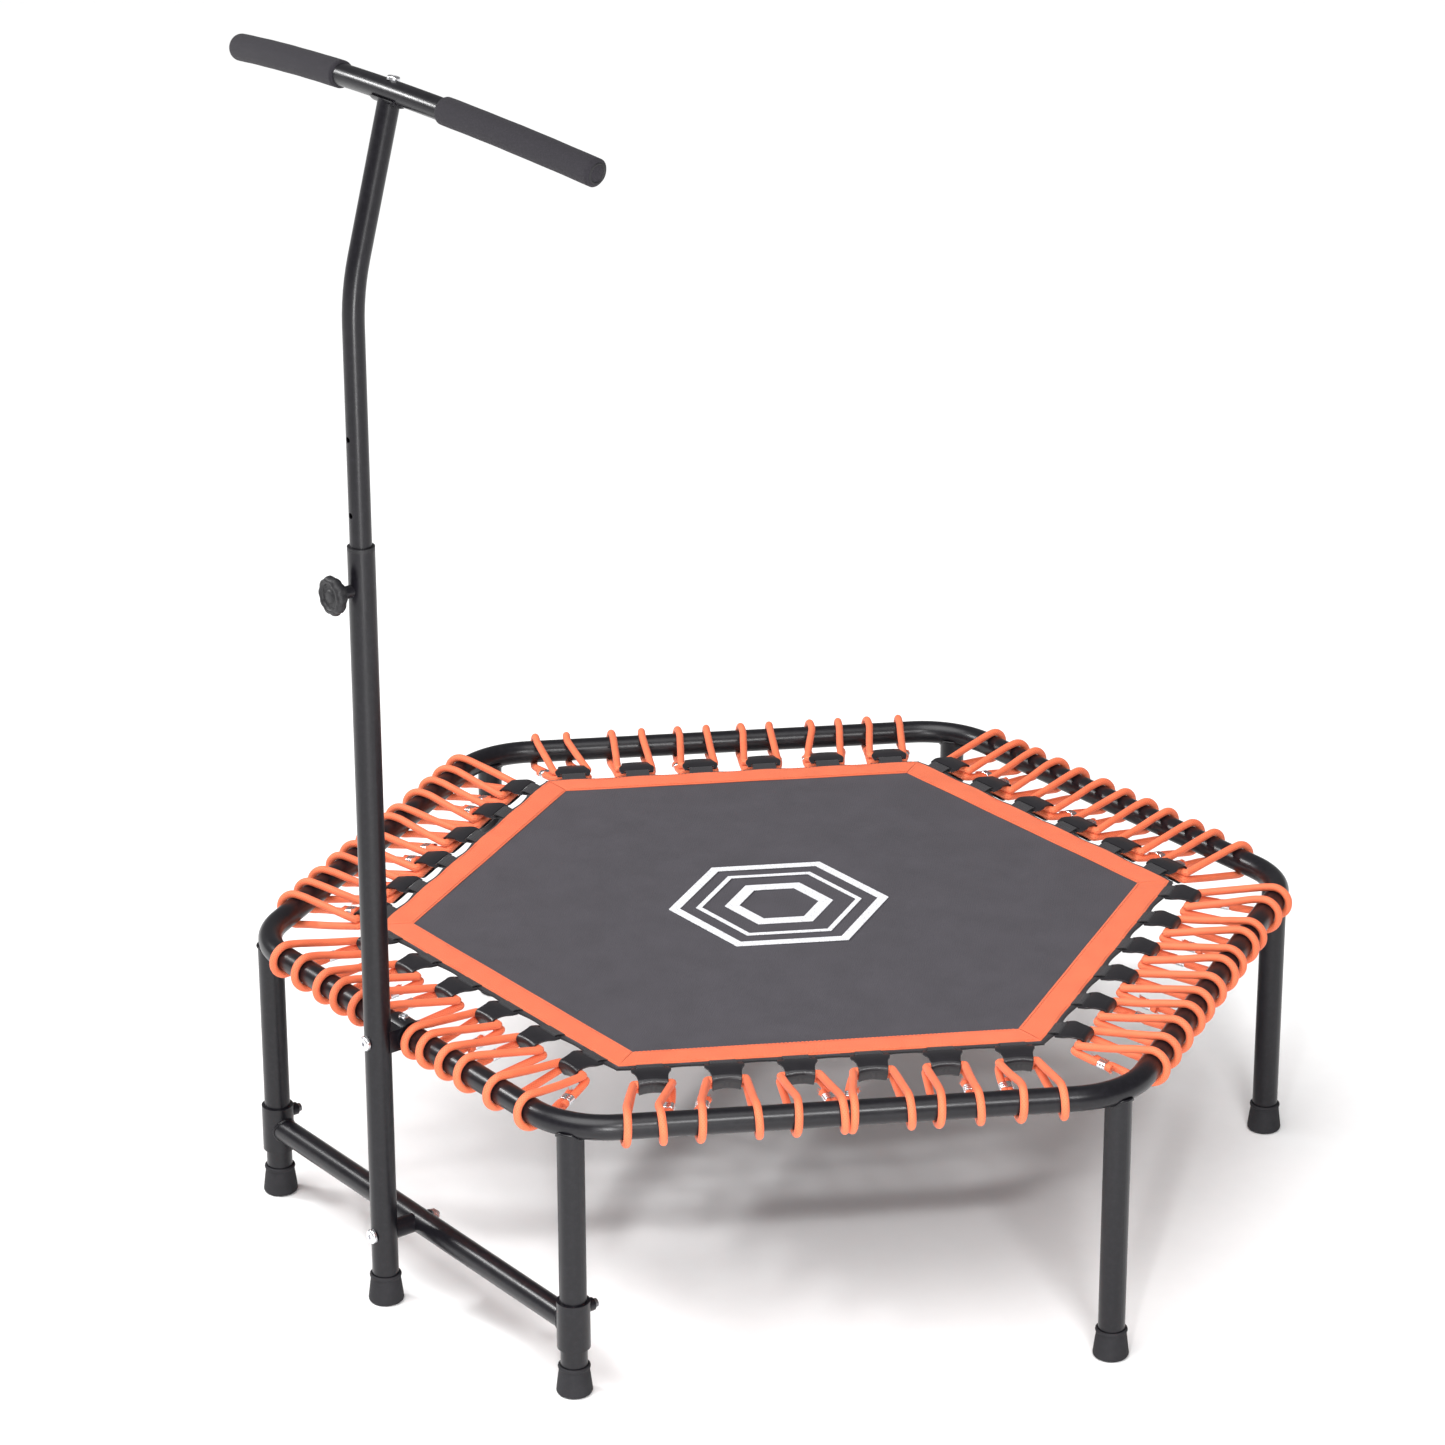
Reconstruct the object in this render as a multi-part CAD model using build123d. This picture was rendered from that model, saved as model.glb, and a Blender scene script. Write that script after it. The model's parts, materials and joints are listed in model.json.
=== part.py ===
from build123d import *
from math import asin, atan2, cos, hypot, pi, radians, sin, sqrt, tan
import os

# Mini trampoline with a height-adjustable handle.  Millimetres, +Z up, standing on z = 0.
# The six-sided ring is centred on (0, CENTRE_Y).  The handle stands outside the front side,
# towards -Y.  Side 0 is the front, and the sides and corners are numbered anticlockwise.

SIDES = 6
STEP = 360 / SIDES
HALF_STEP = radians(STEP / 2)
EPS = 0.05          # gap left between two curved faces that touch
FIT = 0.3           # gap between curved faces that move past each other
CUT = 20.0          # half the length of a hole made right through a tube
KEY_FLATS = 5.0     # hexagon socket in each screw and bolt head
KEY_DEPTH = 2.4

# Ring and legs
TUBE_R = 14.0
TUBE_WALL = 1.5
RING_APOTHEM = 528.0
RING_Z = 325.0
BEND_R = 100.0
LEG_R = 15.0
LEG_WALL = 1.5
LEG_JOINT_Z = 300.0
SOCKET_TOP_Z = 319.0
STUD_R = 5.0
STUD_UP = 8.0
STUD_DOWN = 18.0
LEG_PLUG = 22.0
FOOT_BASE_R = 20.5
FOOT_TOP_R = 17.0
FOOT_H = 35.0
FOOT_FLOOR = 6.0
FOOT_EDGE = 3.5

BEND_CENTRE = (RING_APOTHEM - BEND_R) / cos(HALF_STEP)
LEG_CIRCLE = BEND_CENTRE + BEND_R
SIDE_STRAIGHT = 2 * (RING_APOTHEM - BEND_R) * tan(HALF_STEP)
LEG_X = LEG_CIRCLE / 2
LEG_Y = -LEG_CIRCLE * cos(HALF_STEP)

# Crossbar between the two front legs
CROSS_Z = 85.0
SLEEVE_R = 18.5
SLEEVE_LOW, SLEEVE_HIGH = 57.0, 113.0
SLEEVE_NUT_Z = 100.0
SLEEVE_NUT_R, SLEEVE_NUT_L = 7.5, 7.0
CLAMP_R = 4.0
CLAMP_HEAD_R, CLAMP_HEAD_H = 5.0, 4.0
CLAMP_NECK = 1.0

# Upright post
POST_Y = -562.5
POST_R = 15.0
POST_WALL = 1.8
POST_TOP = 900.0
BUSH_LOW = 870.0
BUSH_COLLAR = 4.0
BOLT_R = 4.0
BOLT_HOLE_R = 4.3
BOLT_HEAD_R, BOLT_HEAD_H = 8.5, 4.5
BOLT_DOME = 2.6
BOLT_END = 3.0                      # thread that shows beyond the nut
NUT_FLATS, NUT_H = 13.0, 6.5
WASHER_R, WASHER_H = 8.5, 1.6
SPACER_R = 11.0
SADDLE_HALF = 16.5
SADDLE_WALL = 3.5
SADDLE_ANGLES = (-40.0, 120.0)      # around the ring tube, from straight out towards the top
SADDLE_BLOCK_W, SADDLE_BLOCK_H = 30.0, 26.0
SADDLE_BLOCK_LAP = 6.0              # how far the block reaches round the post
SCREW_R = 2.5
SCREW_HEAD_R, SCREW_HEAD_H = 5.5, 2.4
SCREW_DOME = 1.4
SCREW_LENGTH = 12.0
CROSS_SLOT = (6.0, 1.2, 1.6)

# Clamping knob on the post
KNOB_Z = 856.0
BOSS_R, BOSS_L = 7.0, 8.0
KNOB_R = 21.5
KNOB_NEAR, KNOB_FACE = 25.0, 43.5   # distances from the post's axis
KNOB_HUB_R, KNOB_HUB_L = 12.0, 6.0
KNOB_FLUTES = 10
FLUTE_R, FLUTE_DEPTH = 9.0, 1.4
KNOB_RECESS_R, KNOB_RECESS = 14.0, 1.6
STUD_IN_KNOB = 6.0                  # from the knob's face to the end of its stud
KNOB_STUD_R = 4.0
TIP_GAP = 0.3

# Telescopic handle
INNER_R = 12.0
INNER_WALL = 1.5
INNER_BOTTOM = 600.0
HANDLE_BEND_Z = 1183.0
HANDLE_BEND_R = 275.0
HANDLE_TILT = 15.2
TILTED_LENGTH = 196.0
HOLE_R = 3.3
HOLE_PITCH = 84.0
HOLES = 3
BAR_R = 12.0
BAR_WALL = 1.5
BAR_HALF = 323.0
BAR_SWEEP = 22.0                    # each end of the bar, towards the mat
BAR_DROOP = 20.0                    # each end of the bar, downwards
GRIP_R = 14.8
GRIP_START, GRIP_END = 94.0, 328.0
CAP_H = 3.0
CAP_PLUG = 15.0
SADDLE_PLATE = 3.3
CRADLE_HALF = 21.0
CRADLE_WALL = 2.4
CRADLE_H = 7.0                      # from the end of the tube to the cradle's rim
INSERT_LENGTH, INSERT_DROP = 20.0, 4.0
GLIDE_FLANGE, GLIDE_PLUG = 6.0, 15.0
GLIDE_GAP = 0.2
GLIDE_BORE_R = 6.0
TOP_BOLT_R = 3.0
TOP_BOLT_HEAD_R, TOP_BOLT_HEAD_H = 7.0, 4.0
TOP_BOLT_DOME = 2.5
TOP_BOLT_SEAT = 0.9                 # depth of the flat under its head
TOP_BOLT_IN_TUBE = 22.0
TOP_KEY_FLATS, TOP_KEY_DEPTH = 4.0, 2.0

# Jumping mat
MAT_CIRCLE = 472.0
BORDER_OUT, BORDER_IN = 467.0, 428.0
WEBBING_IN = 432.0
MAT_LOW, MAT_H = 333.4, 1.6
MAT_STEP = 0.1                      # how far the border's stitching presses it into the mat
BORDER_H = 1.2
WEBBING_H = 1.7
MAT_APOTHEM = MAT_CIRCLE * cos(HALF_STEP)

# Clips and bungee loops
CORD_R = 4.5
CLIPS_PER_SIDE = 6
CLIP_PITCH = 80.0
CLIP_WALL = 2.3
CHANNEL_R = CORD_R + 0.4
UPPER = (443.5, 331.0)              # upper strand in the clip: out from the centre, height
LOWER = (438.5, 323.4)              # lower strand in the clip
MOUTH = 16.0                        # length of the clip's open side, which starts half that far in
CLIP_INNER = 413.5
CLIP_BAR = 3.2
CLIP_SLOT = 3.0
CLIP_SLOT_HALF = 15.5
CLIP_OUTLINE = [(20.5, 413.5), (22.0, 421.0), (18.0, 431.0), (15.0, 441.0), (15.0, 456.0)]
BAND_THICK = 1.6                    # webbing through the clip's slot
BAND_HALF = 14.5
BAND_GAP = 0.1
TURN_R = 5.5                        # radius of the cord where it leaves the clip
TURN_AT = 22.0                      # how far to the side of the clip's middle it does
WRAP_R = TUBE_R + CORD_R + 0.6
WRAP_BEND_R = 15.5
WRAP_SHIFT = 4.0                    # the cord comes back this much further out along the tube
FERRULE_AT = 473.0
FERRULE_L = 9.0
FERRULE_WALL = 1.4
FERRULE_FIT = 1.1                   # room in it beside the cord, which swells as it is crimped
TAIL = 5.0
END_OUT, END_IN = 7.0, 9.0          # the cord's two ends, either side of the strand's line
FERRULE_OFFSET, FERRULE_SPREAD = 1.8, 15.5

# Where each loop crosses the ring, from the middle of its side.  No two loops were hooked alike.
SIDE_WRAPS = [
    [(-238, -197), (-148, -117), (-76, -33), (31, 56), (97, 129), (189, 243)],
    [(-237, -203), (-157, -100), (-54, -8), (6, 64), (100, 139), (189, 230)],
    [(-226, -189), (-142, -101), (-61, -20), (31, 59), (113, 140), (206, 243)],
    [(-219, -173), (-134, -91), (-51, -13), (29, 72), (114, 155), (190, 233)],
    [(-229, -190), (-151, -116), (-62, -27), (19, 54), (102, 139), (198, 236)],
    [(-243, -207), (-165, -125), (-73, -44), (8, 48), (87, 131), (170, 208)],
]

FRONT = -(POST_Y - KNOB_FACE)
BACK = RING_APOTHEM + WRAP_R + CORD_R
CENTRE_Y = (FRONT - BACK) / 2


def pipe(radius, wall, length):
    """A tube standing on z = 0."""
    outside = Cylinder(radius, length, align=(Align.CENTER, Align.CENTER, Align.MIN))
    inside = Cylinder(radius - wall, length, align=(Align.CENTER, Align.CENTER, Align.MIN))
    return outside - inside


def rod(radius, low, high):
    """A round bar along Z between two heights."""
    return Pos(0, 0, low) * Cylinder(radius, high - low, align=(Align.CENTER, Align.CENTER, Align.MIN))


def along_y(shape):
    """Turn a shape that stands on z = 0 so that it points to -Y."""
    return Rot(90, 0, 0) * shape


def backwards(shape):
    """Turn a shape that stands on z = 0 so that it points to +Y."""
    return Rot(-90, 0, 0) * shape


def front_rod(radius, y_near, y_far, z, x=0):
    """A round bar along Y from y_near (towards the mat) out to y_far."""
    return Pos(x, y_near, z) * along_y(rod(radius, 0, y_near - y_far))


def side_plane(x, out=0, up=0):
    """A plane across the front side, whose own X points out and Y points up."""
    return Plane(origin=(x, -out, up), x_dir=(0, -1, 0), z_dir=(-1, 0, 0))


def crosswise(shape, y, z):
    """Turn a shape that stands on z = 0 so that it points to +X, with its axis at y and z."""
    return Pos(0, y, z) * Rot(0, 90, 0) * shape


def hexagon_prism(flats, height):
    return extrude(RegularPolygon(flats / 2, 6, major_radius=False), height)


def on_side(shape, side):
    """Put a shape made for the front side on another side."""
    return Rot(0, 0, STEP * side) * shape


def at_corner(shape, corner):
    """Put a shape made at the origin on the leg circle at a corner."""
    angle = radians(300 + STEP * corner)
    return Pos(LEG_CIRCLE * cos(angle), LEG_CIRCLE * sin(angle), 0) * shape


# ---------------------------------------------------------------- ring and legs

RING_BOLT_HOLES = front_rod(BOLT_HOLE_R, -RING_APOTHEM + CUT, -RING_APOTHEM - CUT, RING_Z)
RING_SCREW_HOLE = Pos(0, -RING_APOTHEM, 0) * rod(SCREW_R + EPS, RING_Z, RING_Z + CUT)


def ring_side(side):
    tube = crosswise(pipe(TUBE_R, TUBE_WALL, SIDE_STRAIGHT), -RING_APOTHEM, RING_Z)
    tube = Pos(-SIDE_STRAIGHT / 2, 0, 0) * tube
    if side == 0:
        tube = tube - RING_BOLT_HOLES - RING_SCREW_HOLE
    return on_side(tube, side)


def bend(radius, wall=0.0):
    """The ring's bend at a corner, as it lies around its own centre."""
    section = Circle(radius)
    if wall:
        section = section - Circle(radius - wall)
    return revolve(Plane.XZ * Pos(BEND_R, 0) * section, Axis.Z, STEP)


def at_bend(shape, corner):
    """Put a bend where it belongs in the ring."""
    angle = 300 + STEP * corner
    place = Pos(BEND_CENTRE * cos(radians(angle)), BEND_CENTRE * sin(radians(angle)), RING_Z)
    return place * Rot(0, 0, angle - STEP / 2) * shape


def ring_corner(corner):
    return at_bend(bend(TUBE_R, TUBE_WALL), corner)


def leg_socket(corner):
    """A short stub under the bend, with the threaded hole for the leg's stud."""
    stub = rod(LEG_R, LEG_JOINT_Z, SOCKET_TOP_Z) - rod(STUD_R + EPS, LEG_JOINT_Z, LEG_JOINT_Z + STUD_UP)
    return at_corner(stub, corner) - at_bend(bend(TUBE_R + EPS), corner)


def leg_stud(corner):
    return at_corner(rod(STUD_R, LEG_JOINT_Z - STUD_DOWN, LEG_JOINT_Z + STUD_UP - EPS), corner)


def leg(corner):
    """A leg tube with a welded plug in its top, drilled and tapped for the stud."""
    tube = Pos(0, 0, FOOT_FLOOR) * pipe(LEG_R, LEG_WALL, LEG_JOINT_Z - FOOT_FLOOR)
    plug = rod(LEG_R - LEG_WALL, LEG_JOINT_Z - LEG_PLUG, LEG_JOINT_Z)
    return at_corner(tube + plug - rod(STUD_R + EPS, LEG_JOINT_Z - STUD_DOWN, LEG_JOINT_Z), corner)


def rubber_foot():
    """A flared rubber cup with a rounded lower edge."""
    cup = Cone(FOOT_BASE_R, FOOT_TOP_R, FOOT_H, align=(Align.CENTER, Align.CENTER, Align.MIN))
    cup = fillet(cup.edges().group_by(Axis.Z)[0], FOOT_EDGE)
    return cup - rod(LEG_R + EPS, FOOT_FLOOR, FOOT_H)


# ---------------------------------------------------------------- crossbar

def crossbar():
    bar = Pos(-LEG_X, 0, 0) * crosswise(pipe(TUBE_R, TUBE_WALL, 2 * LEG_X), LEG_Y, CROSS_Z)
    for x in (-LEG_X, LEG_X):
        bar = bar - Pos(x, LEG_Y, 0) * rod(SLEEVE_R + EPS, SLEEVE_LOW, SLEEVE_HIGH)
    return bar - front_rod(BOLT_HOLE_R, LEG_Y + CUT, LEG_Y - CUT, CROSS_Z)


def crossbar_sleeve(x):
    sleeve = rod(SLEEVE_R, SLEEVE_LOW, SLEEVE_HIGH) - rod(LEG_R + EPS, SLEEVE_LOW, SLEEVE_HIGH)
    hole = Pos(0, 0, SLEEVE_NUT_Z) * backwards(rod(CLAMP_R + EPS, 0, CUT))
    return Pos(x, LEG_Y, 0) * (sleeve - hole)


def sleeve_nut(x):
    """A round nut welded to the sleeve on the side towards the mat."""
    end = SLEEVE_R + SLEEVE_NUT_L
    nut = backwards(rod(SLEEVE_NUT_R, LEG_R, end) - rod(CLAMP_R + EPS, LEG_R, end))
    nut = Pos(0, 0, SLEEVE_NUT_Z) * nut - rod(SLEEVE_R + EPS, SLEEVE_LOW, SLEEVE_HIGH)
    return Pos(x, LEG_Y, 0) * nut


def clamp_screw(x):
    tip = LEG_R + 2 * EPS
    seat = SLEEVE_R + SLEEVE_NUT_L + CLAMP_NECK
    screw = rod(CLAMP_R, tip, seat) + rod(CLAMP_HEAD_R, seat, seat + CLAMP_HEAD_H)
    socket = Pos(0, 0, seat + CLAMP_HEAD_H - KEY_DEPTH) * hexagon_prism(KEY_FLATS, KEY_DEPTH)
    return Pos(x, LEG_Y, SLEEVE_NUT_Z) * backwards(screw - socket)


# ---------------------------------------------------------------- post and its fastenings

def post():
    tube = Pos(0, POST_Y, FOOT_FLOOR) * pipe(POST_R, POST_WALL, POST_TOP - FOOT_FLOOR)
    for z in (RING_Z, CROSS_Z):
        tube = tube - front_rod(BOLT_HOLE_R, POST_Y + CUT, POST_Y - CUT, z)
    return tube - front_rod(KNOB_STUD_R + EPS, POST_Y, POST_Y - CUT, KNOB_Z)


def post_bush():
    """The plastic bush that guides the handle tube, with a collar on top of the post."""
    collar_top = POST_TOP + BUSH_COLLAR
    sleeve = rod(POST_R - POST_WALL - EPS, BUSH_LOW, POST_TOP) + rod(POST_R, POST_TOP, collar_top)
    return Pos(0, POST_Y, 0) * (sleeve - rod(INNER_R + EPS, BUSH_LOW, collar_top))


def ring_saddle():
    """A shell over the ring tube with a block that fits the round of the post."""
    low, high = SADDLE_ANGLES
    out = TUBE_R + SADDLE_WALL
    sector = Circle(out) - Circle(TUBE_R + EPS)
    far = 3 * out
    middle = radians((low + high) / 2)
    wedge = Polygon(
        (0, 0),
        (far * cos(radians(low)), far * sin(radians(low))),
        (far * cos(middle), far * sin(middle)),
        (far * cos(radians(high)), far * sin(radians(high))),
        align=None,
    )
    shell = extrude(side_plane(0, RING_APOTHEM, RING_Z) * (sector & wedge), SADDLE_HALF, both=True)
    block_y = POST_Y + SADDLE_BLOCK_LAP
    block = Box(SADDLE_BLOCK_W, -RING_APOTHEM - block_y, SADDLE_BLOCK_H)
    block = Pos(0, (block_y - RING_APOTHEM) / 2, RING_Z) * block
    block = block - Pos(0, POST_Y, 0) * rod(POST_R + EPS, 0, POST_TOP)
    block = block - crosswise(rod(TUBE_R + SADDLE_WALL / 2, -2 * CUT, 2 * CUT), -RING_APOTHEM, RING_Z)
    body = shell + block
    body = body - front_rod(BOLT_HOLE_R, -RING_APOTHEM, POST_Y, RING_Z)
    return body - Pos(0, -RING_APOTHEM, 0) * rod(SCREW_R + EPS, RING_Z, RING_Z + out + 1)


def saddle_screw():
    seat = RING_Z + TUBE_R + SADDLE_WALL
    head = rod(SCREW_HEAD_R, seat, seat + SCREW_HEAD_H)
    head = fillet(head.edges().group_by(Axis.Z)[-1], SCREW_DOME)
    slot = Box(*CROSS_SLOT)
    slot = Pos(0, 0, seat + SCREW_HEAD_H) * (slot + Rot(0, 0, 90) * slot)
    return Pos(0, -RING_APOTHEM, 0) * (head - slot + rod(SCREW_R, seat - SCREW_LENGTH, seat))


def post_spacer():
    """A round spacer between the post and the crossbar, shaped to both tubes."""
    spacer = front_rod(SPACER_R, LEG_Y, POST_Y, CROSS_Z)
    spacer = spacer - Pos(0, POST_Y, 0) * rod(POST_R + EPS, 0, POST_TOP)
    spacer = spacer - crosswise(rod(TUBE_R + EPS, -CUT, CUT), LEG_Y, CROSS_Z)
    return spacer - front_rod(BOLT_HOLE_R, LEG_Y, POST_Y, CROSS_Z)


def through_bolt(z, tube_y):
    """A dome-headed bolt from the front of the post to a nut behind the tube."""
    end = tube_y + TUBE_R + WASHER_H + NUT_H + BOLT_END
    shank = front_rod(BOLT_R, end, POST_Y - POST_R, z)
    head = rod(BOLT_HEAD_R, 0, BOLT_HEAD_H)
    head = fillet(head.edges().group_by(Axis.Z)[-1], BOLT_DOME)
    socket = Pos(0, 0, BOLT_HEAD_H - KEY_DEPTH) * hexagon_prism(KEY_FLATS, KEY_DEPTH)
    return shank + Pos(0, POST_Y - POST_R, z) * along_y(head - socket)


def washer(z, tube_y):
    face = tube_y + TUBE_R
    return front_rod(WASHER_R, face + WASHER_H, face, z) - front_rod(BOLT_R + EPS, face + WASHER_H, face, z)


def nut(z, tube_y):
    near = tube_y + TUBE_R + WASHER_H
    body = Pos(0, near + NUT_H, z) * along_y(hexagon_prism(NUT_FLATS, NUT_H))
    return body - front_rod(BOLT_R + EPS, near + NUT_H, near, z)


BOLTED = ((RING_Z, -RING_APOTHEM), (CROSS_Z, LEG_Y))


# ---------------------------------------------------------------- knob

def knob_boss():
    boss = front_rod(BOSS_R, POST_Y, POST_Y - POST_R - BOSS_L, KNOB_Z)
    boss = boss - Pos(0, POST_Y, 0) * rod(POST_R + EPS, 0, POST_TOP)
    return boss - front_rod(KNOB_STUD_R + EPS, POST_Y, POST_Y - KNOB_NEAR, KNOB_Z)


def knob_stud():
    return front_rod(KNOB_STUD_R, POST_Y - INNER_R - TIP_GAP, POST_Y - KNOB_FACE + STUD_IN_KNOB, KNOB_Z)


def knob():
    """A fluted grip with a recessed face and a hub towards the post."""
    thick = KNOB_FACE - KNOB_NEAR
    grip = rod(KNOB_R, KNOB_HUB_L, thick)
    flute_at = KNOB_R + FLUTE_R - FLUTE_DEPTH
    for flute in range(KNOB_FLUTES):
        angle = 2 * pi * (flute + 0.5) / KNOB_FLUTES
        grip = grip - Pos(flute_at * cos(angle), flute_at * sin(angle), 0) * rod(FLUTE_R, 0, thick)
    grip = grip + rod(KNOB_HUB_R, 0, KNOB_HUB_L) - rod(KNOB_RECESS_R, thick - KNOB_RECESS, thick)
    grip = grip - rod(KNOB_STUD_R + EPS, 0, thick - STUD_IN_KNOB + FIT)
    return Pos(0, POST_Y - KNOB_NEAR, KNOB_Z) * along_y(grip)


# ---------------------------------------------------------------- handle

TILT = radians(HANDLE_TILT)
TILT_DIRECTION = (0, sin(TILT), cos(TILT))
BAR_LENGTHWAYS = TILTED_LENGTH + SADDLE_PLATE + BAR_R + EPS


def on_tilt(distance):
    """A point on the tilted top of the handle tube, from the bend's corner."""
    return (0, POST_Y + distance * sin(TILT), HANDLE_BEND_Z + distance * cos(TILT))


def tilted(shape):
    """Lay a shape that stands on the origin along the tilted top of the handle tube."""
    return Plane(origin=on_tilt(0), x_dir=(1, 0, 0), z_dir=TILT_DIRECTION) * shape


BAR_OFFSET = hypot(BAR_SWEEP, BAR_DROOP)
BAR_BEND_R = (BAR_HALF**2 + BAR_OFFSET**2) / (2 * BAR_OFFSET)


def bar_point(x):
    """A point on the handlebar's centre line."""
    bow = BAR_BEND_R - sqrt(BAR_BEND_R**2 - x**2)
    _, y, z = on_tilt(BAR_LENGTHWAYS)
    return (x, y + bow * BAR_SWEEP / BAR_OFFSET, z - bow * BAR_DROOP / BAR_OFFSET)


def along_bar(section, start, end):
    path = ThreePointArc(bar_point(start), bar_point((start + end) / 2), bar_point(end))
    return sweep(Plane(path @ 0, z_dir=path % 0) * section, path)


def inner_tube():
    corners = [(0, POST_Y, INNER_BOTTOM), on_tilt(0), on_tilt(TILTED_LENGTH)]
    path = FilletPolyline(*corners, radius=HANDLE_BEND_R)
    section = Circle(INNER_R) - Circle(INNER_R - INNER_WALL)
    tube = sweep(Plane(path @ 0, z_dir=path % 0) * section, path)
    for hole in range(HOLES):
        tube = tube - front_rod(HOLE_R, POST_Y, POST_Y - CUT, KNOB_Z + hole * HOLE_PITCH)
    return tube


def tube_glide():
    """The plastic plug in the bottom of the handle tube."""
    flange_low, plug_top = INNER_BOTTOM - GLIDE_FLANGE, INNER_BOTTOM + GLIDE_PLUG
    glide = rod(POST_R - POST_WALL - GLIDE_GAP, flange_low, INNER_BOTTOM)
    glide = glide + rod(INNER_R - INNER_WALL - EPS, INNER_BOTTOM, plug_top)
    return Pos(0, POST_Y, 0) * (glide - rod(GLIDE_BORE_R, flange_low, plug_top))


def handle_insert():
    """The threaded plug welded into the top of the handle tube."""
    high = TILTED_LENGTH - INSERT_DROP
    low = high - INSERT_LENGTH
    return tilted(rod(INNER_R - INNER_WALL - EPS, low, high) - rod(TOP_BOLT_R + EPS, low, high))


def handle_saddle():
    """The cradle between the handle tube and the handlebar."""
    shell = along_bar(Circle(BAR_R + CRADLE_WALL), -CRADLE_HALF, CRADLE_HALF)
    below = tilted(rod(2 * CRADLE_HALF, TILTED_LENGTH, TILTED_LENGTH + CRADLE_H))
    cradle = shell & below
    cradle = cradle + tilted(rod(INNER_R, TILTED_LENGTH, TILTED_LENGTH + CRADLE_H))
    cradle = cradle - tilted(rod(TOP_BOLT_R + EPS, TILTED_LENGTH, TILTED_LENGTH + CRADLE_H))
    return cradle - along_bar(Circle(BAR_R + EPS), -2 * CRADLE_HALF, 2 * CRADLE_HALF)


def top_bolt():
    seat = BAR_LENGTHWAYS + BAR_R
    head = rod(TOP_BOLT_HEAD_R, seat - TOP_BOLT_SEAT, seat + TOP_BOLT_HEAD_H)
    head = fillet(head.edges().group_by(Axis.Z)[-1], TOP_BOLT_DOME)
    socket = hexagon_prism(TOP_KEY_FLATS, TOP_KEY_DEPTH)
    head = head - Pos(0, 0, seat + TOP_BOLT_HEAD_H - TOP_KEY_DEPTH) * socket
    return tilted(head + rod(TOP_BOLT_R, TILTED_LENGTH - TOP_BOLT_IN_TUBE, seat))


def handlebar():
    bar = along_bar(Circle(BAR_R) - Circle(BAR_R - BAR_WALL), -BAR_HALF, BAR_HALF)
    seat = BAR_LENGTHWAYS + BAR_R
    holes = rod(TOP_BOLT_R + EPS, BAR_LENGTHWAYS - CUT, seat)
    holes = holes + rod(TOP_BOLT_HEAD_R + EPS, seat - TOP_BOLT_SEAT, seat + TOP_BOLT_HEAD_H)
    return bar - tilted(holes)


def grip(hand):
    section = Circle(GRIP_R) - Circle(BAR_R + EPS)
    return along_bar(section, hand * GRIP_START, hand * GRIP_END)


def bar_cap(hand):
    end = hand * BAR_HALF
    plug = along_bar(Circle(BAR_R - BAR_WALL - EPS), end - hand * CAP_PLUG, end)
    return plug + along_bar(Circle(BAR_R), end, end + hand * CAP_H)


# ---------------------------------------------------------------- mat

def hexagon_plate(circle, low, height, hole=0.0):
    face = RegularPolygon(circle, SIDES)
    if hole:
        face = face - RegularPolygon(hole, SIDES)
    return Pos(0, 0, low) * extrude(face, height)


def jumping_mat():
    """The woven sheet, pressed in a little where the border is stitched on."""
    under_border = hexagon_plate(MAT_CIRCLE, MAT_LOW, MAT_H - MAT_STEP)
    return under_border + hexagon_plate(BORDER_IN - EPS, MAT_LOW, MAT_H)


# ---------------------------------------------------------------- clips and webbing loops

def oval(radius):
    """The outline around both strands in the clip's channel."""
    rounds = [edge for spot in (UPPER, LOWER) for edge in (Pos(*spot) * Circle(radius)).edges()]
    return make_hull(rounds)


def clip(x):
    """A moulded hook: a slotted plate that curls round both strands and stays open inside."""
    widest = CLIP_OUTLINE[1][0]
    plate_low = UPPER[1] + CHANNEL_R
    plate = Rectangle(UPPER[0] - CLIP_INNER, CLIP_WALL, align=(Align.MIN, Align.MIN))
    plate = Pos(CLIP_INNER, plate_low) * plate
    mouth = Pos(LOWER[0] - MOUTH, plate_low) * Rectangle(MOUTH, 2 * MOUTH, align=(Align.MIN, Align.MAX))
    mouth = mouth & Pos(LOWER[0] - MOUTH, LOWER[1]) * Rectangle(MOUTH, MOUTH, align=(Align.MIN, Align.MIN))
    section = oval(CHANNEL_R + CLIP_WALL) - oval(CHANNEL_R) - mouth + plate
    hook = extrude(side_plane(x) * section, widest, both=True)
    right = [(half, out) for half, out in CLIP_OUTLINE]
    left = [(-half, out) for half, out in reversed(CLIP_OUTLINE)]
    above = Plane(origin=(x, 0, RING_Z), x_dir=(1, 0, 0), z_dir=(0, 0, -1))
    hook = hook & extrude(above * make_face(Polyline(*right, *left, close=True)), 2 * widest, both=True)
    slot_middle = CLIP_INNER + CLIP_BAR + CLIP_SLOT / 2
    return hook - Pos(x, -slot_middle, plate_low) * Box(2 * CLIP_SLOT_HALF, CLIP_SLOT, 2 * CUT)


def webbing_loop(x):
    """The band from the mat's edge through the clip's slot and back."""
    plate_low = UPPER[1] + CHANNEL_R
    height = CLIP_WALL + 2 * BAND_THICK
    reach = CLIP_INNER + CLIP_BAR + CLIP_SLOT / 2 - MAT_APOTHEM
    corner = (Align.MIN, Align.MIN)
    band = Pos(MAT_APOTHEM, plate_low - BAND_THICK) * Rectangle(reach, height, align=corner)
    bar = Pos(CLIP_INNER - CLIP_BAR / 2, plate_low - BAND_GAP) * Rectangle(
        3 * CLIP_BAR / 2 + BAND_GAP, CLIP_WALL + 2 * BAND_GAP, align=corner
    )
    return extrude(side_plane(x) * (band - bar), BAND_HALF, both=True)


# ---------------------------------------------------------------- bungee loops

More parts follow.
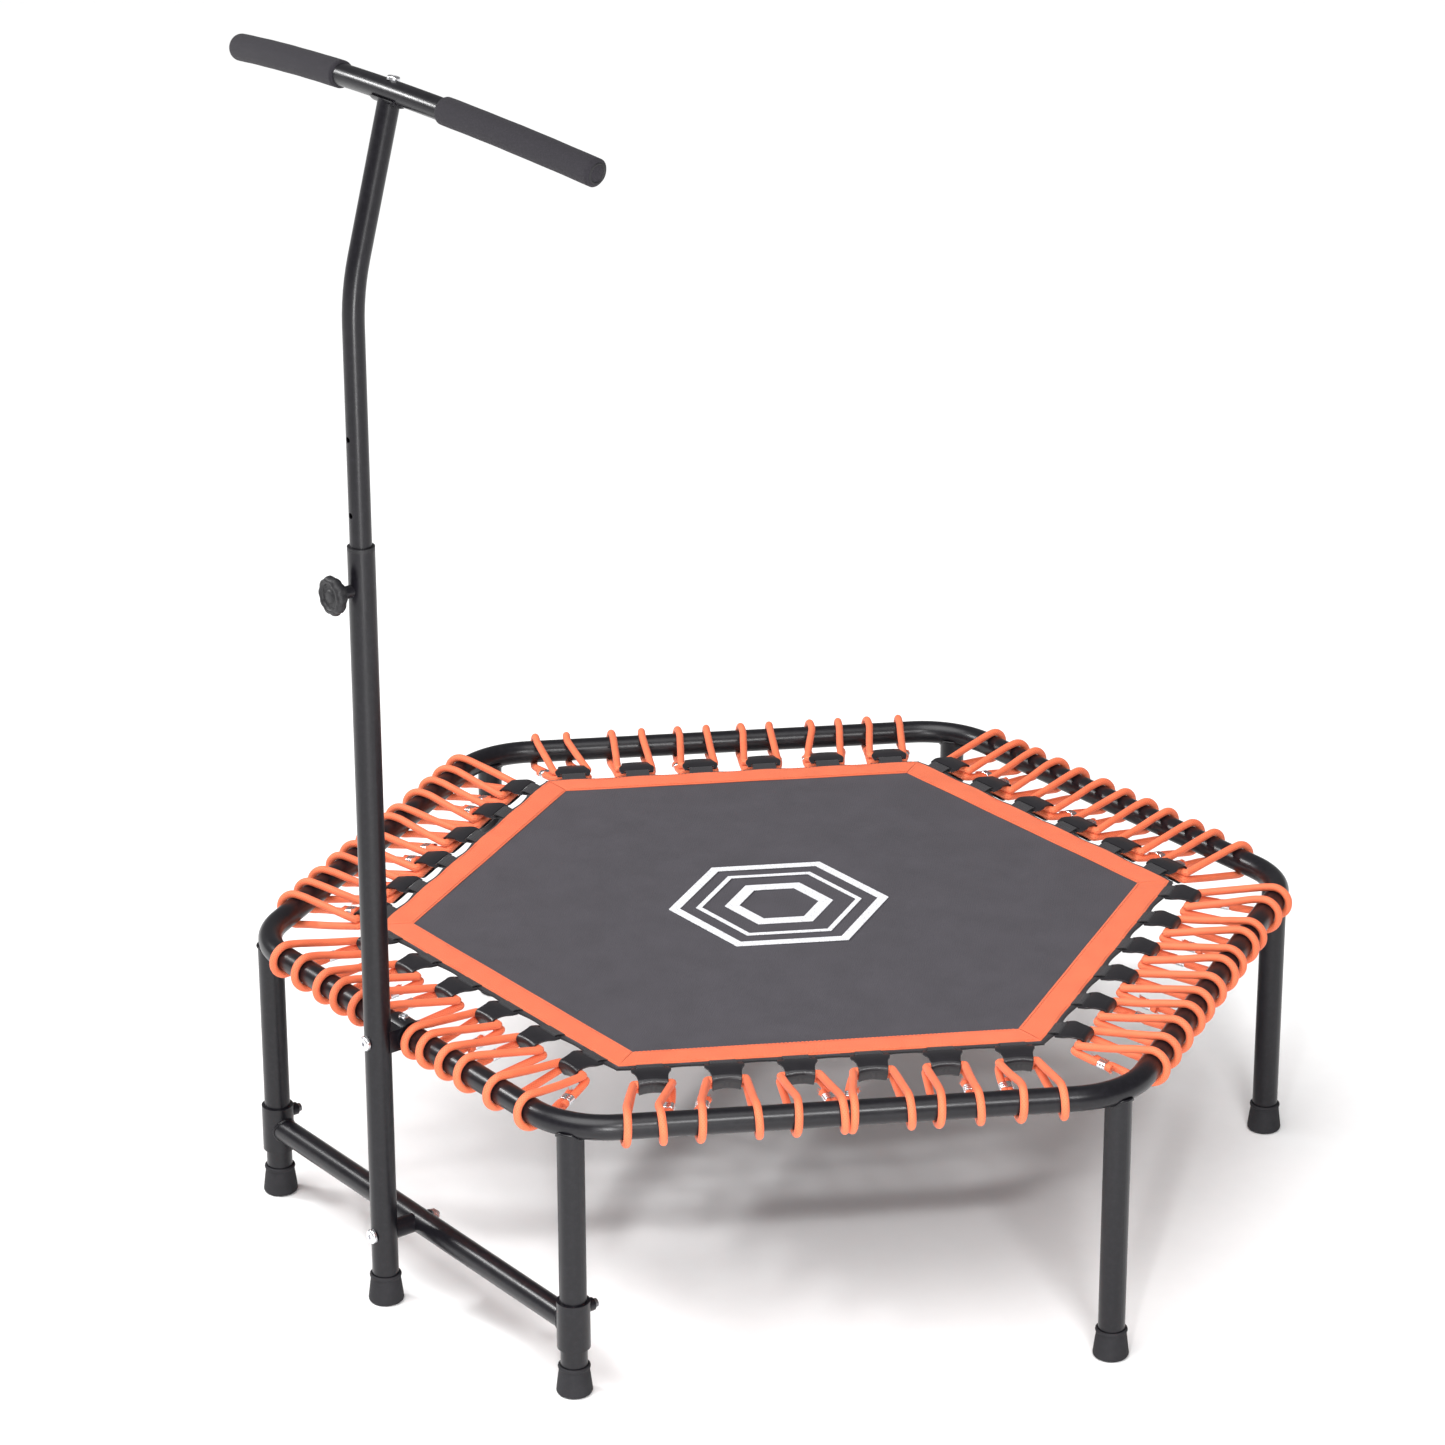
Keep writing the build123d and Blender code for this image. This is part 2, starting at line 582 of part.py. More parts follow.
def away(spot, up):
    """Where the strand from a channel spot meets the line straight down outside the ring."""
    out, rise = RING_APOTHEM - spot[0], RING_Z - spot[1]
    slope = atan2(rise, out) + up * asin(WRAP_R / hypot(out, rise))
    reach = RING_APOTHEM + WRAP_R
    return reach, spot[1] + (reach - spot[0]) * tan(slope)


def bungee_route(x, left, right):
    """The closed loop's corner points, cut where its two ends lie side by side in the ferrule."""
    top_out, top_z = away(UPPER, 1)
    low_out, low_z = away(LOWER, -1)
    slope = (low_z - LOWER[1]) / (low_out - LOWER[0])

    def lower(across, out):
        return (across, -out, LOWER[1] + slope * (out - LOWER[0]))

    near = FERRULE_AT - FERRULE_L / 2 - TAIL
    far = FERRULE_AT + FERRULE_L / 2 + TAIL
    return [
        lower(x - TURN_AT - END_OUT, far),
        lower(x - TURN_AT, LOWER[0]),
        lower(x + TURN_AT, LOWER[0]),
        (right + WRAP_SHIFT, -low_out, low_z),
        (right, -top_out, top_z),
        (x + TURN_AT, -UPPER[0], UPPER[1]),
        (x - TURN_AT, -UPPER[0], UPPER[1]),
        (left, -top_out, top_z),
        (left - WRAP_SHIFT, -low_out, low_z),
        lower(x - TURN_AT + END_IN, near),
    ]


BEND_RADII = [TURN_R, TURN_R, WRAP_BEND_R, WRAP_BEND_R] * 2


def cord_path(x, left, right):
    return FilletPolyline(*bungee_route(x, left, right), radius=BEND_RADII)


def bungee(x, left, right):
    """One cord loop, with its ferrule on the left-hand strand."""
    path = cord_path(x, left, right)
    return sweep(Plane(path @ 0, z_dir=path % 0) * Circle(CORD_R), path)


def ferrule(x, left, right):
    """The flat band crimped round both ends of the cord."""
    low_out, low_z = away(LOWER, -1)
    slope = (low_z - LOWER[1]) / (low_out - LOWER[0])
    middle = (x - TURN_AT + FERRULE_OFFSET, -FERRULE_AT, LOWER[1] + slope * (FERRULE_AT - LOWER[0]))
    plane = Plane(origin=middle, x_dir=(1, 0, 0), z_dir=(0, -cos(atan2(slope, 1)), sin(atan2(slope, 1))))
    hole_r = CORD_R + FERRULE_FIT
    band = SlotCenterToCenter(FERRULE_SPREAD, 2 * (hole_r + FERRULE_WALL))
    band = band - SlotCenterToCenter(FERRULE_SPREAD, 2 * hole_r)
    return plane * Pos(0, 0, -FERRULE_L / 2) * extrude(band, FERRULE_L)


def clip_x(number):
    return (number - (CLIPS_PER_SIDE - 1) / 2) * CLIP_PITCH


PLACES = [(side, number) for side in range(SIDES) for number in range(CLIPS_PER_SIDE)]


def every_clip(maker):
    return [on_side(maker(clip_x(number)), side) for side, number in PLACES]


def every_loop(maker):
    """A piece for each loop.  Every other loop is turned over, with its ferrule on the right."""
    shapes = []
    for side, number in PLACES:
        left, right = SIDE_WRAPS[side][number]
        if (side + number) % 2:
            shape = mirror(maker(-clip_x(number), -right, -left), Plane.YZ)
        else:
            shape = maker(clip_x(number), left, right)
        shapes.append(on_side(shape, side))
    return shapes


# ---------------------------------------------------------------- the whole object

def group(shapes):
    return Compound([solid for shape in shapes for solid in shape.solids()])


nodes = {}
for k in range(SIDES):
    nodes[f"ring_side_{k + 1}"] = ring_side(k)
    nodes[f"ring_corner_{k + 1}"] = ring_corner(k)
    nodes[f"leg_{k + 1}"] = leg(k)
    nodes[f"leg_foot_{k + 1}"] = at_corner(rubber_foot(), k)
nodes["leg_sockets"] = group([leg_socket(k) for k in range(SIDES)])
nodes["leg_studs"] = group([leg_stud(k) for k in range(SIDES)])

nodes["crossbar"] = crossbar()
nodes["crossbar_sleeve_left"] = crossbar_sleeve(-LEG_X)
nodes["crossbar_sleeve_right"] = crossbar_sleeve(LEG_X)
nodes["sleeve_nuts"] = group([sleeve_nut(x) for x in (-LEG_X, LEG_X)])
nodes["clamp_screws"] = group([clamp_screw(x) for x in (-LEG_X, LEG_X)])

nodes["post"] = post()
nodes["post_foot"] = Pos(0, POST_Y, 0) * rubber_foot()
nodes["post_bush"] = post_bush()
nodes["ring_saddle"] = group([ring_saddle()])
nodes["saddle_screw"] = saddle_screw()
nodes["post_spacer"] = post_spacer()
nodes["post_bolts"] = group([through_bolt(z, y) for z, y in BOLTED])
nodes["post_washers"] = group([washer(z, y) for z, y in BOLTED])
nodes["post_nuts"] = group([nut(z, y) for z, y in BOLTED])
nodes["knob_boss"] = knob_boss()

nodes["knob_stud"] = knob_stud()
nodes["knob"] = knob()

nodes["handle_tube"] = inner_tube()
nodes["handle_glide"] = tube_glide()
nodes["handle_insert"] = handle_insert()
nodes["handle_saddle"] = handle_saddle()
nodes["handle_bolt"] = top_bolt()
nodes["handlebar"] = handlebar()
nodes["grip_left"] = grip(-1)
nodes["grip_right"] = grip(1)
nodes["bar_caps"] = group([bar_cap(hand) for hand in (-1, 1)])

nodes["mat"] = jumping_mat()
nodes["mat_border"] = hexagon_plate(BORDER_OUT, MAT_LOW + MAT_H - MAT_STEP, BORDER_H, BORDER_IN)
nodes["mat_webbing"] = hexagon_plate(MAT_CIRCLE, MAT_LOW - WEBBING_H, WEBBING_H, WEBBING_IN)
nodes["clips"] = group(every_clip(clip))
nodes["webbing_loops"] = group(every_clip(webbing_loop))
nodes["bungees"] = group(every_loop(bungee))
nodes["ferrules"] = group(every_loop(ferrule))

os.makedirs("parts", exist_ok=True)
for name, shape in nodes.items():
    export_step(Pos(0, CENTRE_Y, 0) * shape, f"parts/{name}.step")

print("nodes", len(nodes), " ring centre at y", round(CENTRE_Y, 2))
lengths = [cord_path(clip_x(number), *SIDE_WRAPS[side][number]).length for side, number in PLACES]
share = sum(solid.volume for solid in nodes["bungees"].solids()) / (pi * CORD_R**2 * sum(lengths))
print("cord lengths", round(min(lengths)), "to", round(max(lengths)), "mm, radii", BEND_RADII)
print("the cords' volume over section times length", round(share, 4))
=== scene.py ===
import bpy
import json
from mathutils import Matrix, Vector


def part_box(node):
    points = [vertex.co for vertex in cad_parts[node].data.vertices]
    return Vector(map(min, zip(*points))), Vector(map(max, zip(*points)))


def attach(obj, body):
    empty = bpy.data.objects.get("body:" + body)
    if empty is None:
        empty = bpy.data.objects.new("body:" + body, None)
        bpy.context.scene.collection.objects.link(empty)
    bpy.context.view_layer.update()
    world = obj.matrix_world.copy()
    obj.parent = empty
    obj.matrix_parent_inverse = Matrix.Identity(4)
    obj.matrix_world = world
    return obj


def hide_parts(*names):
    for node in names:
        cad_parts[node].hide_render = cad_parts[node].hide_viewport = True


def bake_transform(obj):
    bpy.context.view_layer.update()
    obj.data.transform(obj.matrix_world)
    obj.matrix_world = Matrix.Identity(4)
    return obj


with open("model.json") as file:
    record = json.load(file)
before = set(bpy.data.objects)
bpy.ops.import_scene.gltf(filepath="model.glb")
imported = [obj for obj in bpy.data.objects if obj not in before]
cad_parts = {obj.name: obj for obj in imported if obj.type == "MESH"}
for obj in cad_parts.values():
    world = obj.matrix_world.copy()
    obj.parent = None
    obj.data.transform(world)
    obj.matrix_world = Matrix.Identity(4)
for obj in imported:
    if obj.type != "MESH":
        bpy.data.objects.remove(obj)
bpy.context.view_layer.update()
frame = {"nodes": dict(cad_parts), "record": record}

import json
import random
from math import asin, atan2, cos, hypot, pi, radians, sin, sqrt, tan, tau

import bpy
import numpy as np
from mathutils import Matrix, Vector

# Mini trampoline with an adjustable handle.  Metres.  Sides are numbered from the front (-Y),
# anticlockwise.  On a side, "across" runs along the side and "out" away from the ring's centre.

SIDES = 6
STEP = radians(60)
APOTHEM = cos(STEP / 2)

MAT_LOW, MAT_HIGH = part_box("mat")
BORDER_LOW, BORDER_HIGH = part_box("mat_border")
RING_LOW, RING_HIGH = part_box("ring_side_1")
CENTRE = (MAT_LOW + MAT_HIGH) / 2
TUBE_R = (RING_HIGH.z - RING_LOW.z) / 2
RING_Z = (RING_HIGH.z + RING_LOW.z) / 2
RING_OUT = CENTRE.y - (RING_HIGH.y + RING_LOW.y) / 2
MAT_CIRCLE = (MAT_HIGH.x - MAT_LOW.x) / 2
BORDER_CIRCLE = (BORDER_HIGH.x - BORDER_LOW.x) / 2
BORDER_WIDTH = 0.0338
MAT_EDGE = MAT_CIRCLE * APOTHEM
MAT_TOP = MAT_HIGH.z
SHEET_CIRCLE = MAT_CIRCLE - 0.003       # the woven sheet stops just inside the mat's corners

CORD_R = 0.0045
CLIPS_PER_SIDE = 6
CLIP_PITCH = 0.080
UPPER = (0.4420, 0.3306)      # upper strand in the clip: out, height
LOWER = (0.4380, 0.3232)      # lower strand in the clip
TURN_AT = 0.0215              # where the cord turns out of the clip, from the clip's middle
CHANNEL_R = 0.0049            # inside radius of the clip's curl
CLIP_WALL = 0.0023
CLIP_INNER = 0.4135           # how far out the clip's bar begins
CLIP_BAR, CLIP_SLOT = 0.0032, 0.0030   # widths of the bar and of the slot beside it
WRAP_R = TUBE_R + CORD_R + 0.0001
FERRULE_OUT = 0.473
LEG_R = 0.015
BEAD_R = 0.0015

# Where each loop crosses the ring, from the middle of its side, in millimetres.
SIDE_WRAPS = [
    [(-238, -197), (-148, -117), (-76, -33), (31, 56), (97, 129), (189, 243)],
    [(-237, -203), (-157, -100), (-54, -8), (6, 64), (100, 139), (189, 230)],
    [(-226, -189), (-142, -101), (-61, -20), (31, 59), (113, 140), (206, 243)],
    [(-219, -173), (-134, -91), (-51, -13), (29, 72), (114, 155), (190, 233)],
    [(-229, -190), (-151, -116), (-62, -27), (19, 54), (102, 139), (198, 236)],
    [(-243, -207), (-165, -125), (-73, -44), (8, 48), (87, 131), (170, 208)],
]


# ---------------------------------------------------------------- helpers

def side_point(side, across, out, z):
    """A point in the row frame from its place on a side."""
    angle = STEP * side - pi / 2
    return Vector((
        CENTRE.x + out * cos(angle) - across * sin(angle),
        CENTRE.y + out * sin(angle) + across * cos(angle),
        z,
    ))


def clip_middle(number):
    """The place along a side of the clip with this number."""
    return (number - (CLIPS_PER_SIDE - 1) / 2) * CLIP_PITCH


def clip_places():
    """Every clip: its side and its middle along the side."""
    for side in range(SIDES):
        for number in range(CLIPS_PER_SIDE):
            yield side, clip_middle(number)


class Build:
    """Gathers vertices, faces and texture coordinates for one piece."""

    def __init__(self):
        self.verts, self.faces, self.uvs = [], [], []

    def add(self, verts, faces, uvs=None):
        base = len(self.verts)
        self.verts.extend(tuple(v) for v in verts)
        self.faces.extend(tuple(base + i for i in face) for face in faces)
        self.uvs.extend(uvs if uvs is not None else [[(0.0, 0.0)] * len(face) for face in faces])

    def grid(self, rows, close_u=False, close_v=False, caps=False, uv=None):
        """A surface through rows of points.  close_u joins each row's ends, close_v the rows."""
        count, width = len(rows), len(rows[0])
        verts = [p for row in rows for p in row]
        faces, uvs = [], []
        for i in range(count if close_v else count - 1):
            for j in range(width if close_u else width - 1):
                corners = [(i, j), (i, j + 1), (i + 1, j + 1), (i + 1, j)]
                faces.append([(a % count) * width + b % width for a, b in corners])
                uvs.append([uv(a, b) for a, b in corners] if uv else [(0.0, 0.0)] * 4)
        if caps:
            faces.append(list(range(width))[::-1])
            faces.append([(count - 1) * width + j for j in range(width)])
            uvs.extend([[(0.0, 0.0)] * width] * 2)
        self.add(verts, faces, uvs)

    def tube(self, points, radius, sides, closed=False):
        """A round tube along points.  Its texture coordinates are metres round and along."""
        points = np.array(points, float)
        count = len(points)
        if closed:
            tangents = np.roll(points, -1, 0) - np.roll(points, 1, 0)
        else:
            tangents = np.gradient(points, axis=0)
        tangents /= np.linalg.norm(tangents, axis=1)[:, None]
        lengths = np.linalg.norm(np.diff(points, axis=0), axis=1)
        along = np.concatenate([[0.0], np.cumsum(lengths)])
        normal = np.cross(tangents[0], (0.0, 0.0, 1.0))
        if np.linalg.norm(normal) < 1e-3:
            normal = np.cross(tangents[0], (1.0, 0.0, 0.0))
        turns = np.linspace(0, tau, sides, endpoint=False)
        rows = []
        for i in range(count):
            normal = normal - tangents[i] * normal.dot(tangents[i])
            normal /= np.linalg.norm(normal)
            other = np.cross(tangents[i], normal)
            r = radius(i / (count - 1), along[i]) if callable(radius) else radius
            ring = points[i] + r * (np.outer(np.cos(turns), normal) + np.outer(np.sin(turns), other))
            rows.append(ring)
        size = radius(0.5, 0.0) if callable(radius) else radius
        last = along[-1] + (np.linalg.norm(points[0] - points[-1]) if closed else 0.0)

        def uv(i, j):
            return (j / sides * tau * size, along[i] if i < count else last)

        self.grid(rows, close_u=True, close_v=closed, caps=not closed, uv=uv)

    def object(self, name, material, smooth=True):
        mesh = bpy.data.meshes.new(name)
        mesh.from_pydata(self.verts, [], self.faces)
        layer = mesh.uv_layers.new(name="UVMap")
        flat = [c for face in self.uvs for corner in face for c in corner]
        layer.data.foreach_set("uv", flat)
        mesh.polygons.foreach_set("use_smooth", [smooth] * len(mesh.polygons))
        mesh.materials.append(material)
        mesh.validate()
        mesh.update()
        obj = bpy.data.objects.new(name, mesh)
        bpy.context.scene.collection.objects.link(obj)
        return obj


def apply_modifiers(obj):
    """Turn what an object's modifiers give into its own mesh."""
    graph = bpy.context.evaluated_depsgraph_get()
    mesh = bpy.data.meshes.new_from_object(obj.evaluated_get(graph))
    obj.modifiers.clear()
    obj.data = mesh


def bevel(obj, width, angle):
    """Round the edges that are sharper than an angle."""
    modifier = obj.modifiers.new("bevel", "BEVEL")
    modifier.width = width
    modifier.segments = 2
    modifier.limit_method = "ANGLE"
    modifier.angle_limit = radians(angle)


def smooth_by_angle(obj, angle=35):
    """Mark the edges sharper than an angle, so that flat faces stay flat."""
    obj.data.set_sharp_from_angle(angle=radians(angle))


def spline(points):
    """Points along a smooth curve whose control points are given."""
    curve = bpy.data.curves.new("route", "CURVE")
    curve.dimensions = "3D"
    curve.resolution_u = 8
    line = curve.splines.new("NURBS")
    line.points.add(len(points) - 1)
    for point, place in zip(line.points, points):
        point.co = (*place, 1.0)
    line.order_u = 3
    line.use_endpoint_u = True
    holder = bpy.data.objects.new("route", curve)
    mesh = bpy.data.meshes.new_from_object(holder)
    found = [v.co.copy() for v in mesh.vertices]
    bpy.data.objects.remove(holder)
    bpy.data.meshes.remove(mesh)
    bpy.data.curves.remove(curve)
    return found


# ---------------------------------------------------------------- materials

class Material:
    """A Principled material with a short way to add nodes."""

    def __init__(self, name, color, roughness, metallic=0.0, **sockets):
        self.material = bpy.data.materials.new(name)
        self.material.use_nodes = True
        self.tree = self.material.node_tree
        self.shader = self.tree.nodes["Principled BSDF"]
        self.shader.inputs["Base Color"].default_value = (*color, 1.0)
        self.shader.inputs["Roughness"].default_value = roughness
        self.shader.inputs["Metallic"].default_value = metallic
        for socket, value in sockets.items():
            self.shader.inputs[socket.replace("_", " ")].default_value = value
        self.coordinates = self.tree.nodes.new("ShaderNodeTexCoord")

    def link(self, source, target):
        self.tree.links.new(source, target)

    def node(self, kind, inputs=None, **settings):
        node = self.tree.nodes.new("ShaderNode" + kind)
        for key, value in settings.items():
            setattr(node, key, value)
        for key, value in (inputs or {}).items():
            if isinstance(value, bpy.types.NodeSocket):
                self.link(value, node.inputs[key])
            else:
                node.inputs[key].default_value = value
        return node

    def math(self, operation, *values):
        return self.node("Math", dict(enumerate(values)), operation=operation).outputs[0]

    def plus(self, base, extra, share):
        """One value, and a share of another on top."""
        return self.math("ADD", base, self.math("MULTIPLY", extra, share))

    def wave(self, value):
        """Rounded ridges: the size of a value's sine."""
        return self.math("ABSOLUTE", self.math("SINE", value))

    def choose(self, side, first, second):
        """The first value where side is 1 and the second where it is 0."""
        other = self.math("MULTIPLY", second, self.math("SUBTRACT", 1.0, side))
        return self.math("ADD", self.math("MULTIPLY", first, side), other)

    def cells(self, scale):
        vector = self.coordinates.outputs["Object"]
        return self.node("TexVoronoi", {"Vector": vector, "Scale": scale}).outputs["Distance"]

    def noise(self, scale, detail, roughness=0.55):
        vector = self.coordinates.outputs["Object"]
        inputs = {"Vector": vector, "Scale": scale, "Detail": detail, "Roughness": roughness}
        return self.node("TexNoise", inputs).outputs["Fac"]

    def split(self, space):
        return self.node("SeparateXYZ", {0: self.coordinates.outputs[space]}).outputs

    def spread(self, value, low, high, new_low, new_high):
        inputs = {"Value": value, "From Min": low, "From Max": high}
        inputs.update({"To Min": new_low, "To Max": new_high})
        return self.node("MapRange", inputs).outputs[0]

    def colors(self, value, low, high):
        """Base colour that runs from one colour to another as value runs from 0 to 1."""
        ramp = self.node("ValToRGB", {"Fac": value})
        ramp.color_ramp.elements[0].color = (*low, 1.0)
        ramp.color_ramp.elements[1].color = (*high, 1.0)
        self.link(ramp.outputs["Color"], self.shader.inputs["Base Color"])

    def rough(self, value, low, high):
        self.link(self.spread(value, 0.0, 1.0, low, high), self.shader.inputs["Roughness"])

    def bump(self, height, strength, distance):
        inputs = {"Height": height, "Strength": strength, "Distance": distance}
        self.link(self.node("Bump", inputs).outputs[0], self.shader.inputs["Normal"])


def powder_coat():
    m = Material("powder_coat", (0.007, 0.0064, 0.0088), 0.3, Specular_IOR_Level=0.38)
    mottle = m.noise(35.0, 4.0)
    peel = m.noise(620.0, 2.0)
    scuffs = m.noise(160.0, 6.0, 0.7)
    worn = m.spread(scuffs, 0.45, 0.75, 0.0, 1.0)
    m.colors(worn, (0.005, 0.0045, 0.0065), (0.0105, 0.0095, 0.013))
    m.rough(m.plus(mottle, scuffs, 0.4), 0.22, 0.36)
    m.bump(m.plus(peel, scuffs, 0.3), 0.16, 0.0004)
    return m.material


def rubber():
    m = Material("rubber", (0.014, 0.0135, 0.0155), 0.8, Specular_IOR_Level=0.35)
    grain = m.noise(900.0, 4.0, 0.7)
    dust = m.noise(60.0, 5.0, 0.65)
    m.colors(dust, (0.008, 0.0078, 0.0092), (0.024, 0.023, 0.027))
    m.rough(grain, 0.6, 0.9)
    m.bump(m.math("ADD", grain, dust), 0.3, 0.0005)
    return m.material


def zinc():
    m = Material("zinc_steel", (0.74, 0.74, 0.76), 0.3, 1.0)
    grain = m.noise(420.0, 5.0, 0.7)
    m.colors(grain, (0.58, 0.58, 0.61), (0.85, 0.85, 0.86))
    m.rough(m.noise(130.0, 4.0), 0.18, 0.42)
    m.bump(grain, 0.25, 0.0002)
    return m.material


def black_steel():
    m = Material("black_steel", (0.16, 0.16, 0.17), 0.35, 0.9)
    grain = m.noise(500.0, 4.0)
    m.colors(grain, (0.1, 0.1, 0.105), (0.24, 0.24, 0.25))
    m.rough(grain, 0.28, 0.5)
    m.bump(grain, 0.2, 0.0002)
    return m.material


def moulded_plastic(name, color, light, roughness, grain_scale):
    m = Material(name, color, roughness, Specular_IOR_Level=0.4)
    spark = m.cells(grain_scale)
    cloud = m.noise(70.0, 3.0)
    m.colors(cloud, color, light)
    mixed = m.plus(m.math("MULTIPLY", spark, 0.5), cloud, 0.5)
    m.rough(mixed, roughness - 0.08, roughness + 0.16)
    m.bump(m.plus(spark, cloud, 0.4), 0.18, 0.0003)
    return m.material


def foam():
    m = Material("foam", (0.016, 0.0145, 0.018), 0.9,
                 Specular_IOR_Level=0.3, Sheen_Weight=0.04, Sheen_Roughness=0.5)
    cells = m.cells(900.0)
    pores = m.noise(380.0, 6.0, 0.75)
    tone = m.math("MULTIPLY", pores, m.math("ADD", cells, 0.6))
    m.colors(tone, (0.009, 0.0082, 0.0108), (0.032, 0.029, 0.036))
    m.rough(pores, 0.82, 1.0)
    m.bump(m.plus(pores, cells, 0.6), 0.5, 0.0006)
    return m.material


def mat_weave():
    """A plain weave: warp and weft threads that pass over each other by turns."""
    light, pitch = (0.064, 0.058, 0.07), 0.0021
    m = Material("mat_weave", light, 0.72, Sheen_Weight=0.04, Sheen_Roughness=0.4)
    x, y, _ = m.split("Object")
    wobble = m.math("MULTIPLY", m.noise(300.0, 2.0), pitch * 0.5)
    u = m.math("MULTIPLY", m.math("ADD", x, wobble), pi / pitch)
    v = m.math("MULTIPLY", m.math("ADD", y, wobble), pi / pitch)
    over = m.math("MULTIPLY", m.math("COSINE", u), m.math("COSINE", v))
    height = m.choose(m.spread(over, -0.3, 0.3, 0.0, 1.0), m.wave(u), m.wave(v))
    cloud = m.noise(25.0, 5.0, 0.6)
    fibre = m.noise(1500.0, 2.0)
    # Painted shade: the colour follows height, darker in the gaps between threads and lighter on their
    # crowns; cloud and fibre add random tone on top.
    tone = m.plus(m.math("MULTIPLY", height, 0.55), cloud, 0.6)
    m.colors(m.plus(tone, fibre, 0.15), (0.02, 0.0182, 0.0225), light)
    m.rough(cloud, 0.6, 0.82)
    m.bump(m.plus(height, fibre, 0.3), 0.7, 0.0006)
    return m.material


def ribbed_webbing(name, dark, light):
    """Narrow webbing: ribs across its width, each rib a slanted pair of threads."""
    rib = 0.0016
    m = Material(name, light, 0.72, Sheen_Weight=0.08, Sheen_Roughness=0.4)
    along, wide, _ = m.split("UV")
    zigzag = m.wave(m.math("MULTIPLY", wide, pi / (2 * rib)))
    slant = m.plus(along, zigzag, 0.0009)
    ribs = m.wave(m.math("MULTIPLY", slant, pi / rib))
    rows = m.wave(m.math("MULTIPLY", wide, pi / rib))
    height = m.math("MULTIPLY", m.math("POWER", ribs, 0.6), m.math("POWER", rows, 0.4))
    cloud = m.noise(45.0, 4.0)
    fuzz = m.noise(1800.0, 2.0)
    # Painted shade: the colour follows height, darker in the grooves between ribs and threads and lighter
    # on their tops; cloud and fuzz add random tone.
    tone = m.plus(m.math("MULTIPLY", height, 0.7), cloud, 0.4)
    m.colors(m.plus(tone, fuzz, 0.1), dark, light)
    m.rough(cloud, 0.6, 0.85)
    m.bump(m.plus(height, fuzz, 0.25), 0.8, 0.0005)
    return m.material


def braid():
    """The bungee's sleeve: two sets of yarns that wind opposite ways."""
    m = Material("bungee_cord", (0.8, 0.14, 0.05), 0.6, Sheen_Weight=0.08, Sheen_Roughness=0.4)
    around, along, _ = m.split("UV")
    yarns, lay = 8, 0.0034
    u = m.math("MULTIPLY", around, yarns / CORD_R)
    v = m.math("MULTIPLY", along, tau / lay)
    left = m.wave(m.math("MULTIPLY", m.math("ADD", u, v), 0.5))
    right = m.wave(m.math("MULTIPLY", m.math("SUBTRACT", u, v), 0.5))
    over = m.math("MULTIPLY", m.math("SINE", u), m.math("SINE", v))
    height = m.choose(m.spread(over, -0.4, 0.4, 0.0, 1.0), left, right)
    cloud = m.noise(80.0, 4.0)
    fuzz = m.noise(2200.0, 2.0)
    # Painted shade: the colour follows height, darker in the grooves between yarns and lighter on their
    # crowns; cloud and fuzz add random tone. The dark colour (0.5, 0.056, 0.018) is the painted shade.
    tone = m.plus(m.math("MULTIPLY", height, 0.65), cloud, 0.45)
    m.colors(m.plus(tone, fuzz, 0.1), (0.5, 0.056, 0.018), (0.9, 0.195, 0.08))
    m.rough(cloud, 0.5, 0.75)
    m.bump(m.plus(height, fuzz, 0.3), 0.6, 0.0005)
    return m.material


def thread(name, color, light):
    m = Material(name, color, 0.6, Sheen_Weight=0.2)
    twist = m.noise(1400.0, 3.0)
    m.colors(twist, color, light)
    m.bump(twist, 0.4, 0.0002)
    return m.material


def ink():
    """Screen print on the weave: pale ink that the thread tops carry and the gaps break up."""
    m = Material("print_ink", (0.75, 0.75, 0.78), 0.6)
    worn = m.noise(700.0, 4.0, 0.7)
    m.colors(m.spread(worn, 0.3, 0.55, 0.0, 1.0), (0.38, 0.38, 0.4), (0.8, 0.8, 0.83))
    m.bump(worn, 0.4, 0.0003)
    return m.material


def crimp_metal():
    m = Material("ferrule_metal", (0.78, 0.78, 0.8), 0.28, 1.0)
    grain = m.noise(650.0, 4.0, 0.7)
    m.colors(grain, (0.6, 0.6, 0.63), (0.92, 0.92, 0.94))
    m.rough(grain, 0.15, 0.4)
    m.bump(grain, 0.2, 0.0002)
    return m.material


POWDER = powder_coat()
RUBBER = rubber()
ZINC = zinc()
BLACK_STEEL = black_steel()
PLASTIC = moulded_plastic("black_plastic", (0.008, 0.0078, 0.009), (0.017, 0.0165, 0.019), 0.46, 900.0)
CLIP_PLASTIC = moulded_plastic("clip_plastic", (0.007, 0.0064, 0.008), (0.016, 0.0145, 0.018), 0.3, 700.0)
FOAM = foam()
MAT_WEAVE = mat_weave()
# The first colour of each webbing is the painted shade of its grooves, the second the lighter colour of
# its rib tops.
ORANGE_WEBBING = ribbed_webbing("orange_webbing", (0.52, 0.068, 0.022), (0.9, 0.2, 0.082))
BLACK_WEBBING = ribbed_webbing("black_webbing", (0.006, 0.006, 0.007), (0.03, 0.028, 0.032))
CORD = braid()
ORANGE_THREAD = thread("orange_thread", (0.65, 0.09, 0.03), (0.95, 0.25, 0.1))
INK = ink()
FERRULE = crimp_metal()

